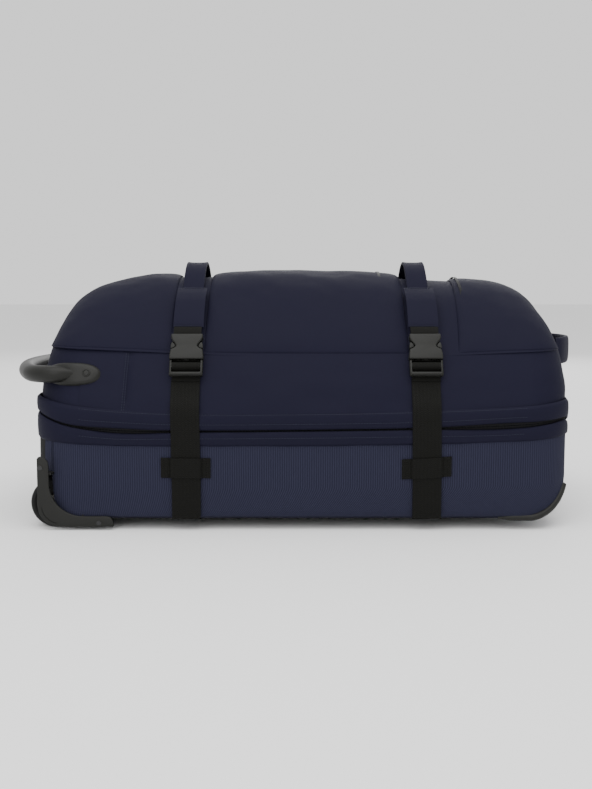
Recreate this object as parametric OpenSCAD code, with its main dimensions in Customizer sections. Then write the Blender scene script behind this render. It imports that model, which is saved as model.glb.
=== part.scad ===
// Rolling duffel bag lying on its back: a wheeled base tub, a zipped clamshell lid with
// three front pockets, two compression straps and a telescopic trolley.
// +X points from the wheel end to the top end, -Y is the side with the buckles, +Z is up.
// The origin is on the ground under the middle of the whole bag.

/* [Bag body] */
// X of the wheel-end wall
body_x0 = -352; // [-356:1:-348]
// X of the top-end wall
body_x1 = 370; // [366:1:374]
// Half of the body width at the zip
body_half_w = 197; // [194:1:199]
// Radius of the body's corners seen from above
plan_r = 65; // [50:5:70]
// Height of the underside of the back panel
belly_z = 15; // [14:1:17]
// Height of the zip line, where the lid parts from the base
zip_z = 137; // [134:1:140]
// Radius of the lower corner at the top end
heel_r = 68; // [60:2:76]
// Thickness of the sewn fabric walls
wall_t = 3; // [2:0.5:4]

/* [Lid] */
// Height of the seam between the lid's side wall and its front panel
seam_z = 231; // [226:1:236]
// Half width of the lid at that seam
seam_half_w = 162; // [156:1:168]
// Rise of the front panel from its seam to its crown
crown_h = 110; // [100:1:115]
// Thickness of the pockets on the front panel
pocket_t = 6; // [4:1:8]

/* [Straps] */
// X of the strap nearer the wheels
strap_x_wheel = -146; // [-160:1:-130]
// X of the strap nearer the top end
strap_x_top = 172; // [160:1:185]
// Width of the black webbing
web_w = 38; // [30:1:40]
// Thickness of the webbing
web_t = 1.8; // [1.2:0.1:2.2]
// Lean of the buckles towards the lid, in degrees
buckle_lean = 28; // [26:1:30]

/* [Wheels] */
// Wheel radius
wheel_r = 33; // [30:1:36]
// Wheel width
wheel_w = 30; // [24:1:34]
// X of the axle
wheel_x = -324; // [-328:1:-320]
// Distance of each wheel's middle from the centre plane
wheel_y = 167; // [160:1:172]

/* [Trolley] */
// Distance of each tube from the centre plane
tube_y = 72; // [60:1:80]
// Height of the tube centres
tube_z = 35; // [34:1:37]
// Width of the outer tube
tube_w = 26; // [24:1:28]
// Height of the outer tube
tube_h = 16; // [15:1:17]
// Length of the outer tubes
tube_l = 446; // [400:1:460]

/* [Hidden] */
$fn = 48;
play = 0.3;
wheel_z = wheel_r;
well_r = wheel_r + 5;
strap_xs = [strap_x_wheel, strap_x_top];
tray_x = 280;
tray_half = 102;
tube_x0 = tray_x - tube_l;
tray_top = 66;
flap_t = 3;
flap_out = 1.5;
lower_flap_z0 = 114;
upper_flap_z1 = 158;
flap_gap = 2;
seam_x0 = body_x0 + 12;
seam_x1 = body_x1 - 6;
seam_r = 55;
dome_power_x = 11;
dome_rings = 10;
dome_sides = 48;
channel_half = 22;
pocket_gap = 0.4;
pocket_base = 2;
zip_axis_z = 211;
zip_end_angle = 33;
grip_r = 11.5;
grip_z = 206;
handle_z = 230;
buckle_y = -170.5;
buckle_z = 222;
slider_window = 120;
slider_room = 7;
wall_lean = atan((body_half_w - seam_half_w) / (seam_z - upper_flap_z1));

// ---------- outlines ----------

// Rounded rectangle from x0 to x1 and y0 to y1.
module rounded(x0, x1, y0, y1, r) {
  translate([x0 + r, y0]) square([x1 - x0 - 2 * r, y1 - y0]);
  translate([x0, y0 + r]) square([x1 - x0, y1 - y0 - 2 * r]);
  for (x = [x0 + r, x1 - r], y = [y0 + r, y1 - r]) translate([x, y]) circle(r);
}

// The body seen from above, grown by t.
module plan(t) {
  rounded(body_x0 - t, body_x1 + t, -body_half_w - t, body_half_w + t, plan_r + t);
}

// The tub seen from the side, grown by t: a square wheel corner and a round heel.
module side_profile(t, top) {
  heel_x = body_x1 - heel_r;
  heel_z = belly_z + heel_r;
  translate([body_x0 - t, belly_z - t]) square([heel_x - body_x0 + t, top - belly_z + t]);
  translate([body_x0 - t, heel_z]) square([body_x1 - body_x0 + 2 * t, top - heel_z]);
  translate([heel_x, heel_z]) circle(heel_r + t);
}

// Turns an X-Z outline into a slab from y0 to y1.
module slab_xz(y0, y1) translate([0, y1, 0]) rotate([90, 0, 0]) linear_extrude(y1 - y0) children();

// Turns a Y-Z outline into a bar from x0 to x1.
module bar_yz(x0, x1) translate([x0, 0, 0]) rotate([90, 0, 90]) linear_extrude(x1 - x0) children();

module box(x0, x1, y0, y1, z0, z1) translate([x0, y0, z0]) cube([x1 - x0, y1 - y0, z1 - z0]);

// The tub as a solid block grown by t, up to a given height.
module tub(t, top) {
  intersection() {
    translate([0, 0, belly_z - t]) linear_extrude(top - belly_z + t) plan(t);
    slab_xz(-body_half_w - t - 1, body_half_w + t + 1) side_profile(t, top);
  }
}

// The tub's fabric, hollow and open upwards.
module tub_wall() {
  difference() {
    tub(0, lower_flap_z0);
    tub(-wall_t, lower_flap_z0 + 1);
    wheel_wells(well_r + 3.2);
  }
}

// Space that the two wheel wells take out of the tub.
module wheel_wells(r) {
  well_inner = wheel_y - wheel_w / 2 - 8.5;
  for (s = [-1, 1])
    translate([wheel_x, s * (well_inner + 40), wheel_z])
      rotate([90, 0, 0]) cylinder(r = r, h = 80, center = true);
}

module both_sides() {
  children();
  mirror([0, 1, 0]) children();
}

// ---------- base tub ----------

side_x0 = -282;
side_x1 = body_x1 - heel_r - 4;
belly_half = body_half_w - wall_t - 1;

module back_panel() color("#23242c")
  difference() {
    intersection() {
      tub_wall();
      box(body_x0 + plan_r, side_x1 - play, -belly_half, belly_half, 0, belly_z + wall_t);
    }
    tray_window();
  }

module side_panel() color("#2b2d3c")
  intersection() {
    tub_wall();
    box(side_x0, side_x1, -body_half_w - 1, -belly_half - play, 0, 200);
  }

module wheel_end_panel() color("#202126")
  difference() {
    intersection() {
      tub_wall();
      box(body_x0 - 1, side_x0 - play, -220, 220, 0, 200);
    }
    box(body_x0 + plan_r - play, side_x0 + 1, -belly_half - play, belly_half + play, 0, belly_z + wall_t + 1);
  }

// Room for the trolley's tray in the top end and the underside.
module tray_window()
  box(tray_x - play, body_x1 + 5, -tray_half - play, tray_half + play, 0, tray_top + play);

module top_end_panel() color("#282a38")
  intersection() {
    tub_wall();
    box(side_x1 + play, body_x1 + 1, -tray_half, tray_half, tray_top + play, 200);
  }

// The top end beside the tray, round the heel and the corner.
module heel_cheek() color("#282a38")
  intersection() {
    tub_wall();
    box(side_x1 + play, body_x1 + 1, -220, -tray_half - play, 0, 200);
  }

module frame_sheet() color("#d8d8d4")
  difference() {
    translate([0, 0, belly_z + wall_t + 0.2]) linear_extrude(2)
      rounded(body_x0 + 12, side_x1 - 26, -body_half_w + 26, body_half_w - 26, 30);
    wheel_wells(well_r + 3.6);
  }

// A band around the whole bag between two heights.
module band(z0, z1, inset, t) {
  translate([0, 0, z0]) linear_extrude(z1 - z0) difference() {
    plan(-inset);
    plan(-inset - t);
  }
}

// The stretch of the top-end wall that the sliders run along, between two heights.
module slider_run(margin, z0, z1) {
  half = slider_window + 8 - margin;
  box(body_x1 - 12, body_x1 + 20, -half, half, z0, z1);
}

module lower_long_flap() color("#282a38")
  difference() {
    band(lower_flap_z0 + 0.2, zip_z - flap_gap, -flap_out, flap_t);
    slider_run(0, 0, 300);
  }

module upper_long_flap() color("#282a38")
  difference() {
    band(zip_z + flap_gap, upper_flap_z1, -flap_out, flap_t);
    slider_run(0, 0, 300);
  }

// Narrower flaps that leave the sliders their room.
module lower_slider_flap() color("#282a38")
  intersection() {
    band(lower_flap_z0 + 0.2, zip_z - slider_room, -flap_out, flap_t);
    slider_run(play, 0, 300);
  }

module upper_slider_flap() color("#282a38")
  intersection() {
    band(zip_z + slider_room, upper_flap_z1, -flap_out, flap_t);
    slider_run(play, 0, 300);
  }

// Half of the main zip: tape and coil along three sides, none at the hinge side.
module zip_coil(z0, z1) color("#101012")
  difference() {
    band(z0, z1, flap_t - flap_out + play, 3);
    box(body_x0 + plan_r, body_x1 - plan_r, body_half_w - 20, body_half_w + 5, 0, 300);
  }

// ---------- skid rails, guards and wheels ----------

module skid_rails() color("#1a1a1b")
  both_sides() translate([0, -tube_y, 0]) difference() {
    union() {
      box(-212, 262, -14, 14, 0, belly_z - 0.2);
      for (x = [-212, 262]) translate([x, 0, 0]) cylinder(r = 14, h = belly_z - 0.2);
    }
    for (x = [-190, 25, 240]) translate([x, 0, -1]) cylinder(r = 5, h = 4);
  }

module base_screws() color("#8d8f90")
  both_sides() {
    for (x = [-190, 25, 240]) translate([x, -tube_y, 1.4]) cylinder(r = 4.6, h = 1.5);
    for (p = [[-338, 84], [-262, 10]])
      translate([p[0], -body_half_w - 3.4, p[1]]) rotate([90, 0, 0]) cylinder(r = 3, h = 1);
  }

module corner_guards() color("#1d1d1e")
  both_sides() intersection() {
    difference() {
      tub(3, 100);
      tub(play, 101);
      slab_xz(-300, 300) side_profile(-9, 140);
    }
    box(268, 400, -220, -150, 0, 94);
  }

// The L-shaped face of a wheel housing, seen from the side: an arm up the corner, a foot
// under the side panel, a round heel over the wheel and a wide hollow between the two.
module housing_outline() {
  heel = [wheel_x + 10, wheel_z];
  difference() {
    union() {
      polygon([[-342.5, wheel_z], [-342.5, 96], [-339, 98], [-331, 94], [-327, 84], [-327, wheel_z]]);
      polygon([[heel[0], 4.5], [-244, 4.5], [-242, 8], [-244, 14], [-250, 19], [heel[0], 19]]);
      translate(heel) circle(28.5);
      translate([-328, 18]) square([45, 45]);
    }
    translate([-283, 63]) circle(44);
  }
}

// Moulded housing: side plate, inner wall and the arch of the wheel well.
module wheel_housing() color("#1d1d1e") {
  side_y = -body_half_w - play;
  inner_y = -wheel_y + wheel_w / 2 + 5;
  difference() {
    union() {
      slab_xz(side_y - 3, side_y) housing_outline();
      intersection() {
        slab_xz(side_y - 0.5, inner_y + 3) difference() {
          translate([wheel_x, wheel_z]) circle(well_r + 3);
          translate([wheel_x, wheel_z]) circle(well_r);
        }
        union() {
          box(wheel_x, wheel_x + 60, -260, 0, belly_z - 2, 120);
          box(wheel_x - 24, wheel_x + 1, -260, 0, wheel_z, 120);
        }
      }
      intersection() {
        slab_xz(inner_y, inner_y + 3) translate([wheel_x, wheel_z]) circle(well_r + 3);
        box(wheel_x - 24, wheel_x + 60, -260, 0, belly_z - 2, 120);
      }
    }
    translate([wheel_x, -wheel_y, wheel_z]) rotate([90, 0, 0]) cylinder(r = 4.05, h = 100, center = true);
  }
}

module axle() {
  translate([wheel_x, -wheel_y - 29.5, wheel_z]) rotate([-90, 0, 0]) cylinder(r = 4, h = 52.5);
}

module wheel_axles() color("#9b9d9e") both_sides() axle();

// Two ball bearings on each axle, one at each end of the hub.
module wheel_bearings() color("#b5b7b8")
  both_sides() for (y = [-wheel_y - 12, -wheel_y + 5])
    translate([wheel_x, y, wheel_z]) rotate([-90, 0, 0]) difference() {
      cylinder(r = 10.9, h = 7);
      translate([0, 0, -1]) cylinder(r = 4.05, h = 9);
    }

module hub() color("#2a2a2b")
  translate([wheel_x, -wheel_y, wheel_z]) rotate([-90, 0, 0]) difference() {
    translate([0, 0, -wheel_w / 2 + 2]) cylinder(r = 25, h = wheel_w - 4);
    translate([0, 0, -wheel_w]) cylinder(r = 11, h = 2 * wheel_w);
    for (s = [-1, 1]) translate([0, 0, s * wheel_w / 2]) rotate_extrude()
      translate([17.5, 0]) square([9, 10], center = true);
  }

module tyre() color("#121213")
  translate([wheel_x, -wheel_y, wheel_z]) rotate([-90, 0, 0]) rotate_extrude(convexity = 4)
    intersection() {
      translate([25, -wheel_w / 2]) square([wheel_r - 25, wheel_w]);
      rounded(10, wheel_r, -wheel_w / 2, wheel_w / 2, 4);
    }

// ---------- trolley ----------

// Two parallel rectangular tubes with a wall of 1.2 mm.
module tube_pair(x0, x1, shrink) {
  w = tube_w - 2 * shrink;
  h = tube_h - 2 * shrink;
  both_sides() bar_yz(x0, x1) translate([-tube_y, tube_z]) difference() {
    rounded(-w / 2, w / 2, -h / 2, h / 2, 3.2 - shrink / 2);
    rounded(-w / 2 + 1.2, w / 2 - 1.2, -h / 2 + 1.2, h / 2 - 1.2, 2.2 - shrink / 2);
  }
}

module outer_tubes() color("#6b6d70") tube_pair(tube_x0, tray_x - 0.2, 0);
module middle_tubes() color("#a8aaac") tube_pair(tube_x0 + 8, tray_x + 4, 1.5);
module inner_tubes() color("#c3c5c7") tube_pair(tube_x0 + 16, tray_x + 9.8, 3);

// Sockets that hold the closed ends of the outer tubes down on the board.
module tube_brackets() color("#1d1d1e")
  both_sides() difference() {
    translate([tube_x0 - 6, -tube_y - 18, belly_z + wall_t + 2.4]) cube([32, 36, 26]);
    bar_yz(tube_x0 - 0.2, tray_x) translate([-tube_y, tube_z])
      rounded(-tube_w / 2 - 0.2, tube_w / 2 + 0.2, -tube_h / 2 - 0.2, tube_h / 2 + 0.2, 3.4);
  }

// Moulded recess in the top end that the grip drops into.
module trolley_tray() color("#1a1a1b")
  difference() {
    intersection() {
      box(tray_x, body_x1, -tray_half, tray_half, belly_z + 2.4, tray_top);
      tub(-0.2, tray_top + 5);
    }
    box(tray_x + 2.4, body_x1 + 20, -tray_half + 2.4, tray_half - 2.4, belly_z + 5, tray_top - 2.4);
    both_sides() bar_yz(tray_x - 1, tray_x + 3)
      rounded(-tube_y - tube_w / 2, -tube_y + tube_w / 2, tube_z - tube_h / 2, tube_z + tube_h / 2, 3);
  }

grip_x0 = tray_x + 10;
grip_x1 = tray_x + 36;
module trolley_grip() color("#18181a")
  difference() {
    translate([0, 0, tube_z - 10]) linear_extrude(20) rounded(grip_x0, grip_x1, -92, 92, 9);
    box(grip_x1 - 8, grip_x1 + 1, -19, 19, tube_z - 6.5, tube_z + 6.5);
  }

module release_button() color("#5a5c5f")
  translate([0, 0, tube_z - 6]) linear_extrude(12) rounded(grip_x1 - 3, grip_x1 + 3, -18, 18, 2.9);

// ---------- compression straps ----------

// Distance of a strap from the centre plane, and a strap along the wall from z0 to z1.
function wall_y(z) = body_half_w + flap_out + 0.5 - max(0, z - upper_flap_z1 - 4) * tan(wall_lean);
module strap_run(x, z0, z1) {
  bend = upper_flap_z1 + 4;
  zs = bend < z1 ? [z0, bend, z1] : [z0, z1];
  inner = [for (z = zs) [-wall_y(z), z]];
  outer = [for (z = zs) [-wall_y(z) - web_t, z]];
  bar_yz(x - web_w / 2, x + web_w / 2)
    polygon(concat(inner, [for (i = [len(outer) - 1:-1:0]) outer[i]]));
}

module compression_straps() color("#161616")
  for (x = strap_xs) strap_run(x, belly_z + 1, buckle_z - 24);

module far_straps_lower() color("#161616")
  mirror([0, 1, 0]) for (x = strap_xs) strap_run(x, belly_z + 1, zip_z - 3);

module far_straps_upper() color("#161616")
  mirror([0, 1, 0]) for (x = strap_xs) strap_run(x, zip_z + 3, seam_z - 6);

// Flat loops of webbing sewn across the straps.
module strap_keepers() color("#1b1b1b")
  both_sides() for (x = strap_xs) difference() {
    box(x - 33, x + 33, -body_half_w - flap_out - 4.6, -body_half_w - 0.1, 71, 97);
    box(x - web_w / 2 - 0.5, x + web_w / 2 + 0.5, -body_half_w - flap_out - 2.9, -body_half_w, 60, 110);
  }

// Puts a buckle part, drawn with its mouth at the origin, on the lid's side wall.
module on_wall(x) translate([x, buckle_y, buckle_z]) rotate([-buckle_lean, 0, 0]) children();

// Sleeve of the buckle: open below, with a window on each side for the prongs.
module buckle_socket() color("#333433")
  difference() {
    union() {
      translate([0, -6, 0]) linear_extrude(24) square([46, 12], center = true);
      translate([0, -6, 23]) linear_extrude(14) square([42, 9], center = true);
    }
    box(-19.5, 19.5, -10, -2, -1, 27);
    for (s = [-1, 1]) translate([s * 24, -6, 16]) rotate([90, 0, 0]) cylinder(r = 8.5, h = 20, center = true);
    box(-19.5, 19.5, -8, -4, 30, 34);
    box(-19.5, 19.5, -20, -4.5, 30, 33);
  }

// Adjuster frame with the tongue's middle guide.
module buckle_frame() color("#343534")
  union() {
    difference() {
      box(-22.5, 22.5, -9.5, -2.5, -23, -0.4);
      for (z = [-20, -10.5]) box(-19.5, 19.5, -20, 0, z, z + 6.5);
    }
    box(-3.5, 3.5, -8, -4, -1, 22);
  }

// One springy prong: an arm, its thumb pad in the window and the catch.
module prong(s) color("#3a3b3a") {
  box(min(s * 9, s * 13), max(s * 9, s * 13), -8, -4, 0.2, 20);
  translate([s * 16.5, -6, 14]) rotate([90, 0, 0]) cylinder(r = 5, h = 6, center = true);
}

// ---------- zip sliders ----------

// Slider body on the top-end wall, at its rest place.
module zip_slider(y) color("#3c3d3f") difference() {
  union() {
    box(body_x1 + 0.4, body_x1 + 5, y - 7, y + 7, zip_z - 5, zip_z + 5);
    box(body_x1 + 4, body_x1 + 8, y - 4.5, y - 2.2, zip_z - 4, zip_z + 4);
    box(body_x1 + 4, body_x1 + 8, y + 2.2, y + 4.5, zip_z - 4, zip_z + 4);
  }
}

pull_x = body_x1 + 8;
// Pull tab: a flat ring with an eye for a padlock, hanging from its pivot.
module zip_pull(y) color("#4a4b4d") difference() {
  union() {
    translate([pull_x - 1.8, y, zip_z]) rotate([90, 0, 0]) cylinder(r = 1.1, h = 4, center = true);
    box(pull_x - 2.6, pull_x - 1, y - 1.9, y + 1.9, zip_z - 14, zip_z);
    translate([pull_x - 2.6, y, zip_z - 21]) rotate([0, 90, 0]) cylinder(r = 7.5, h = 1.6);
  }
  translate([pull_x - 6, y, zip_z - 21]) rotate([0, 90, 0]) cylinder(r = 3.5, h = 10);
}

// ---------- lid ----------

// Rounded rectangle points, counter-clockwise, for a box x0..x1 by +-w with corner radius r.
function ring_points(x0, x1, w, r) = [for (i = [0:dome_sides - 1])
  let (q = floor(i * 4 / dome_sides), a = (i % (dome_sides / 4)) * 90 / (dome_sides / 4 - 1) + q * 90,
       cx = (q == 0 || q == 3) ? x1 - r : x0 + r,
       cy = (q < 2) ? w - r : -w + r)
  [cx + r * cos(a), cy + r * sin(a)]];

seam_cx = (seam_x0 + seam_x1) / 2;
seam_half_l = (seam_x1 - seam_x0) / 2;

// Height of the front panel above its seam at a point.
function dome(x, y, h) = h * (1 - pow(abs(x - seam_cx) / seam_half_l, dome_power_x))
  * (1 - pow(y / seam_half_w, 2));

module gusset_block(t, z0, z1) {
  hull() {
    translate([0, 0, z0]) linear_extrude(0.01) plan(-t);
    translate([0, 0, z1 - 0.01]) linear_extrude(0.01)
      rounded(seam_x0 + t, seam_x1 - t, -seam_half_w + t, seam_half_w - t, seam_r - t);
  }
}

module lid_gusset()
  difference() {
    gusset_block(0, upper_flap_z1 + 0.2, seam_z - 0.2);
    gusset_block(wall_t, upper_flap_z1 - 0.1, seam_z + 0.1);
    at_rivets() cylinder(r = rivet_hole_r, h = 24, center = true);
  }

// The gusset is cut from four lengths: two straight sides and two ends with their corners.
gusset_x0 = body_x0 + plan_r + 1;
gusset_x1 = body_x1 - plan_r - 1;

module lid_side() color("#2a2c3a")
  intersection() {
    lid_gusset();
    box(gusset_x0 + play, gusset_x1 - play, -220, 0, 0, 300);
  }

module lid_wheel_end() color("#2a2c3a")
  intersection() {
    lid_gusset();
    box(body_x0 - 1, gusset_x0, -220, 220, 0, 300);
  }

module lid_top_end() color("#2a2c3a")
  intersection() {
    lid_gusset();
    box(gusset_x1, body_x1 + 1, -220, 220, 0, 300);
  }

// The domed front panel: an outer and an inner skin joined around the seam.
module front_panel() color("#282a38") {
  outer = ring_points(seam_x0, seam_x1, seam_half_w, seam_r);
  inner = ring_points(seam_x0 + wall_t, seam_x1 - wall_t, seam_half_w - wall_t, seam_r - wall_t);
  n = dome_sides;
  m = dome_rings;
  skin = function (ring, h) [for (j = [0:m - 1]) let (s = 1 - pow(j / m, 1.6))
    for (p = ring) let (x = seam_cx + (p[0] - seam_cx) * s, y = p[1] * s)
      [x, y, seam_z + h * (1 - pow(abs(x - seam_cx) / (seam_half_l + 0.01), dome_power_x) * 1)
        * (1 - pow(y / seam_half_w, 2)) * (j == 0 ? 0 : 1)]];
  top = concat(skin(outer, crown_h), [[seam_cx, 0, seam_z + crown_h]]);
  under = concat(skin(inner, crown_h - wall_t), [[seam_cx, 0, seam_z + crown_h - wall_t]]);
  k = len(top);
  faces_out = [for (j = [0:m - 2], i = [0:n - 1])
    let (a = j * n + i, b = j * n + (i + 1) % n) each [[a, b + n, b], [a, a + n, b + n]]];
  cap_out = [for (i = [0:n - 1]) [(m - 1) * n + i, m * n, (m - 1) * n + (i + 1) % n]];
  faces_in = [for (f = concat(faces_out, cap_out)) [k + f[2], k + f[1], k + f[0]]];
  rim = [for (i = [0:n - 1]) let (b = (i + 1) % n) each [[i, b, k + b], [i, k + b, k + i]]];
  polyhedron(concat(top, under), concat(faces_out, cap_out, faces_in, rim));
}

// Where a pocket ends towards the seam, as a share of the half width at x.
function pocket_reach(x) = let (u = abs(x - seam_cx) / seam_half_l)
  seam_half_w * (u > 0.82 ? sqrt(max(0.02, 1 - pow((u - 0.82) / 0.18, 2) * 0.75)) : 1) - 8;

// A flat pocket that lies on the front panel between x0 and x1, thickest in its middle.
module pocket(x0, x1) color("#282a38") {
  nx = 12;
  ny = 20;
  px = [for (i = [0:nx]) x0 + (x1 - x0) * i / nx];
  ease = function (i, n) 8 * i * (n - i) / (n * n);
  lift = function (i, j) pocket_gap + pocket_t * min(1, ease(i, nx), ease(j, ny));
  point = function (i, j, up) let (x = px[i], y = pocket_reach(x) * (2 * j / ny - 1))
    [x, y, seam_z + dome(x, y, crown_h) + pocket_base + up];
  upper = [for (i = [0:nx], j = [0:ny]) point(i, j, lift(i, j) + 0.8)];
  lower = [for (i = [0:nx], j = [0:ny]) point(i, j, 0)];
  k = len(upper);
  w = ny + 1;
  quads = [for (i = [0:nx - 1], j = [0:ny - 1]) let (a = i * w + j)
    each [[a, a + w + 1, a + w], [a, a + 1, a + w + 1]]];
  under = [for (f = quads) [k + f[2], k + f[1], k + f[0]]];
  edge = concat([for (j = [0:w - 1]) j], [for (i = [1:nx]) i * w + ny],
    [for (j = [ny - 1:-1:0]) nx * w + j], [for (i = [nx - 1:-1:1]) i * w]);
  rim = [for (e = [0:len(edge) - 1]) let (a = edge[e], b = edge[(e + 1) % len(edge)])
    each [[a, k + b, b], [a, k + a, k + b]]];
  polyhedron(concat(upper, lower), concat(quads, under, rim));
}

pocket_ends = [
  [seam_x0 + 22, strap_x_wheel - channel_half],
  [strap_x_wheel + channel_half, strap_x_top - channel_half],
  [strap_x_top + channel_half, seam_x1 - 22]
];
zip_xs = [
  strap_x_wheel - channel_half - 28, strap_x_top - channel_half - 30, strap_x_top + channel_half + 40
];
zip_half = 92;

// Height of a pocket's top surface on the centre line and its fall towards the sides.
function pocket_top(x, y) = seam_z + dome(x, y, crown_h) + pocket_base + pocket_gap + pocket_t + 0.8;

// Zip tapes across the pockets, made as arched strips.
module pocket_zip_coils() color("#101012")
  for (x = zip_xs) bar_yz(x - 3, x + 3) polygon(concat(
    [for (y = [-zip_half:8:zip_half]) [y, pocket_top(x, y) + 0.6]],
    [for (y = [zip_half:-8:-zip_half]) [y, pocket_top(x, y) + 2.2]]));

// Slider of a pocket zip, parked at the far end of its zip, with its pull tab lying flat.
module pocket_slider(x) color("#3c3d3f") {
  z = pocket_top(x, 0) + 2.6;
  translate([0, 0, zip_axis_z]) rotate([-zip_end_angle, 0, 0]) translate([0, 0, -zip_axis_z]) {
    box(x - 5, x + 5, -6, 6, z, z + 3);
    translate([x, 15, z + 1]) cylinder(r = 4, h = 1.6);
    box(x - 1.6, x + 1.6, 3, 13, z + 1, z + 2.6);
  }
}

// ---------- cross straps and their anchors ----------

function floor_z(x, y) = seam_z + dome(x, y, crown_h);

// A padded strap that arches over the front panel between its anchor tabs.
module cross_strap(x) color("#2b2d3b") {
  end_y = 74;
  rise = 15;
  bottom = [for (y = [-end_y:4:end_y]) [y, floor_z(x, y) + 1 + rise * cos(90 * y / end_y)]];
  top = [for (p = bottom) [p[0], p[1] + 3.5]];
  bar_yz(x - 15, x + 15) polygon(concat(bottom, [for (i = [len(top) - 1:-1:0]) top[i]]));
}

// Folded fabric tabs that join the cross straps to the buckle webbing.
module anchor_tabs() color("#2b2d3b")
  for (s = [-1, 1], x = strap_xs) {
    low = concat([for (y = [76:4:116]) [s * y, floor_z(x, y) + 1]], [[s * 142, 267]]);
    bar_yz(x - 20.5, x + 20.5)
      polygon(concat(low, [for (i = [len(low) - 1:-1:0]) [low[i][0] + s * 1.6, low[i][1] + 2.4]]));
  }

// Short webbing from each tab to its buckle socket.
module socket_webbing() color("#161616")
  for (x = strap_xs) on_wall(x) box(-web_w / 2 + 0.5, web_w / 2 - 0.5, -6.8, -5.2, 37.2, 47);

// ---------- handles ----------

rivet_xs = [-307, -278];
rivet_hole_r = 3.3;
rivet_y = body_half_w - (grip_z - upper_flap_z1) * tan(wall_lean);
bar_y = rivet_y + 4;
arm_x = -318;
bend_r = 45;
bend_angle = 66;
bow_r = bend_r + (bar_y - bend_r) / cos(bend_angle);
bow_cx = arm_x - bend_r * sin(bend_angle) + bow_r * sin(bend_angle);

// A rivet's axis through the lid's side wall, drawn along +Z from the wall outwards.
module at_rivets() {
  both_sides() for (x = rivet_xs)
    translate([x, -rivet_y, grip_z]) rotate([90 - wall_lean, 0, 0]) children();
}

// Moulded handle: a round grip bowed around the wheel end, with a plate on each side.
module moulded_handle() color("#20211f")
  difference() {
    union() {
      both_sides() translate([arm_x, -bar_y, grip_z]) {
        translate([0, bend_r, 0]) rotate([0, 0, 269 - bend_angle])
          rotate_extrude(angle = bend_angle + 2) translate([bend_r, 0]) circle(grip_r, $fn = 32);
        translate([-0.5, 0, 0]) rotate([0, 90, 0]) cylinder(r1 = grip_r, r2 = 9, h = 5.5, $fn = 32);
      }
      translate([bow_cx, 0, grip_z]) rotate([0, 0, 90 + bend_angle])
        rotate_extrude(angle = 180 - 2 * bend_angle) translate([bow_r, 0]) circle(grip_r, $fn = 32);
      intersection() {
        gusset_block(-7, upper_flap_z1 + 0.2, seam_z - 0.2);
        slab_xz(-300, 300) hull() {
          translate([-324, grip_z - 1]) circle(15.5);
          translate([-276, grip_z - 1]) circle(16);
        }
      }
    }
    gusset_block(-play, upper_flap_z1, seam_z);
    at_rivets() cylinder(r = rivet_hole_r, h = 40, center = true);
  }

module handle_rivets() color("#7f817c")
  at_rivets() {
    translate([0, 0, 7.2]) cylinder(r = 4.6, h = 1.4);
    translate([0, 0, -11]) cylinder(r = 3, h = 18.4);
    translate([0, 0, -11]) cylinder(r = 5.5, h = 1.2);
  }

// Padded fabric handle that stands off the top end.
module top_end_handle() color("#23253a") {
  x0 = seam_x1 + 1;
  out = 411;
  half = [[x0, 96], [x0 + 12, 86], [x0 + 33, 54], [out, 20]];
  inner = [[x0, 82], [x0 + 8, 78], [x0 + 28, 50], [out - 5, 18]];
  back = [for (i = [len(half) - 1:-1:0]) half[i]];
  inner_back = [for (i = [len(inner) - 1:-1:0]) inner[i]];
  outline = concat([for (p = half) [p[0], -p[1]]], back, inner, [for (p = inner_back) [p[0], -p[1]]]);
  difference() {
    translate([0, 0, handle_z - 20]) linear_extrude(40) polygon(outline);
    gusset_block(-play, upper_flap_z1, seam_z);
  }
}

// ---------- node switch ----------

back_panel();
both_sides() side_panel();  // side_panels
wheel_end_panel();
top_end_panel();
both_sides() heel_cheek();  // heel_cheeks
union() {  // lower_zip_flap
  lower_long_flap();
  lower_slider_flap();
}
zip_coil(zip_z - 5, zip_z - 0.4);  // zip_coil_lower
frame_sheet();
trolley_tray();
outer_tubes();
tube_brackets();
skid_rails();
corner_guards();
both_sides() wheel_housing();  // wheel_housings
wheel_axles();
wheel_bearings();
base_screws();
strap_keepers();
compression_straps();
far_straps_lower();
on_wall(strap_x_wheel) buckle_frame();  // buckle_frame_wheel
on_wall(strap_x_top) buckle_frame();  // buckle_frame_top
on_wall(strap_x_wheel) prong(-1);  // prong_wheel_left
on_wall(strap_x_wheel) prong(1);  // prong_wheel_right
on_wall(strap_x_top) prong(-1);  // prong_top_left
on_wall(strap_x_top) prong(1);  // prong_top_right
tyre();  // tyre_near
hub();  // hub_near
mirror([0, 1, 0]) tyre();  // tyre_far
mirror([0, 1, 0]) hub();  // hub_far
middle_tubes();
inner_tubes();
trolley_grip();
release_button();
zip_slider(-9);  // zip_slider_near
zip_slider(9);  // zip_slider_far
zip_pull(-9);  // zip_pull_near
zip_pull(9);  // zip_pull_far
both_sides() lid_side();  // lid_sides
union() {  // lid_ends
  lid_wheel_end();
  lid_top_end();
}
union() {  // upper_zip_flap
  upper_long_flap();
  upper_slider_flap();
}
zip_coil(zip_z + 0.4, zip_z + 5);  // zip_coil_upper
front_panel();
pocket(pocket_ends[0][0], pocket_ends[0][1]);  // wheel_end_pocket
pocket(pocket_ends[1][0], pocket_ends[1][1]);  // middle_pocket
pocket(pocket_ends[2][0], pocket_ends[2][1]);  // top_end_pocket
pocket_zip_coils();
pocket_slider(zip_xs[0]);  // pocket_slider_wheel
pocket_slider(zip_xs[1]);  // pocket_slider_middle
pocket_slider(zip_xs[2]);  // pocket_slider_top
cross_strap(strap_x_wheel);  // cross_strap_wheel
cross_strap(strap_x_top);  // cross_strap_top
anchor_tabs();
socket_webbing();
on_wall(strap_x_wheel) buckle_socket();  // buckle_socket_wheel
on_wall(strap_x_top) buckle_socket();  // buckle_socket_top
far_straps_upper();
moulded_handle();
handle_rivets();
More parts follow.
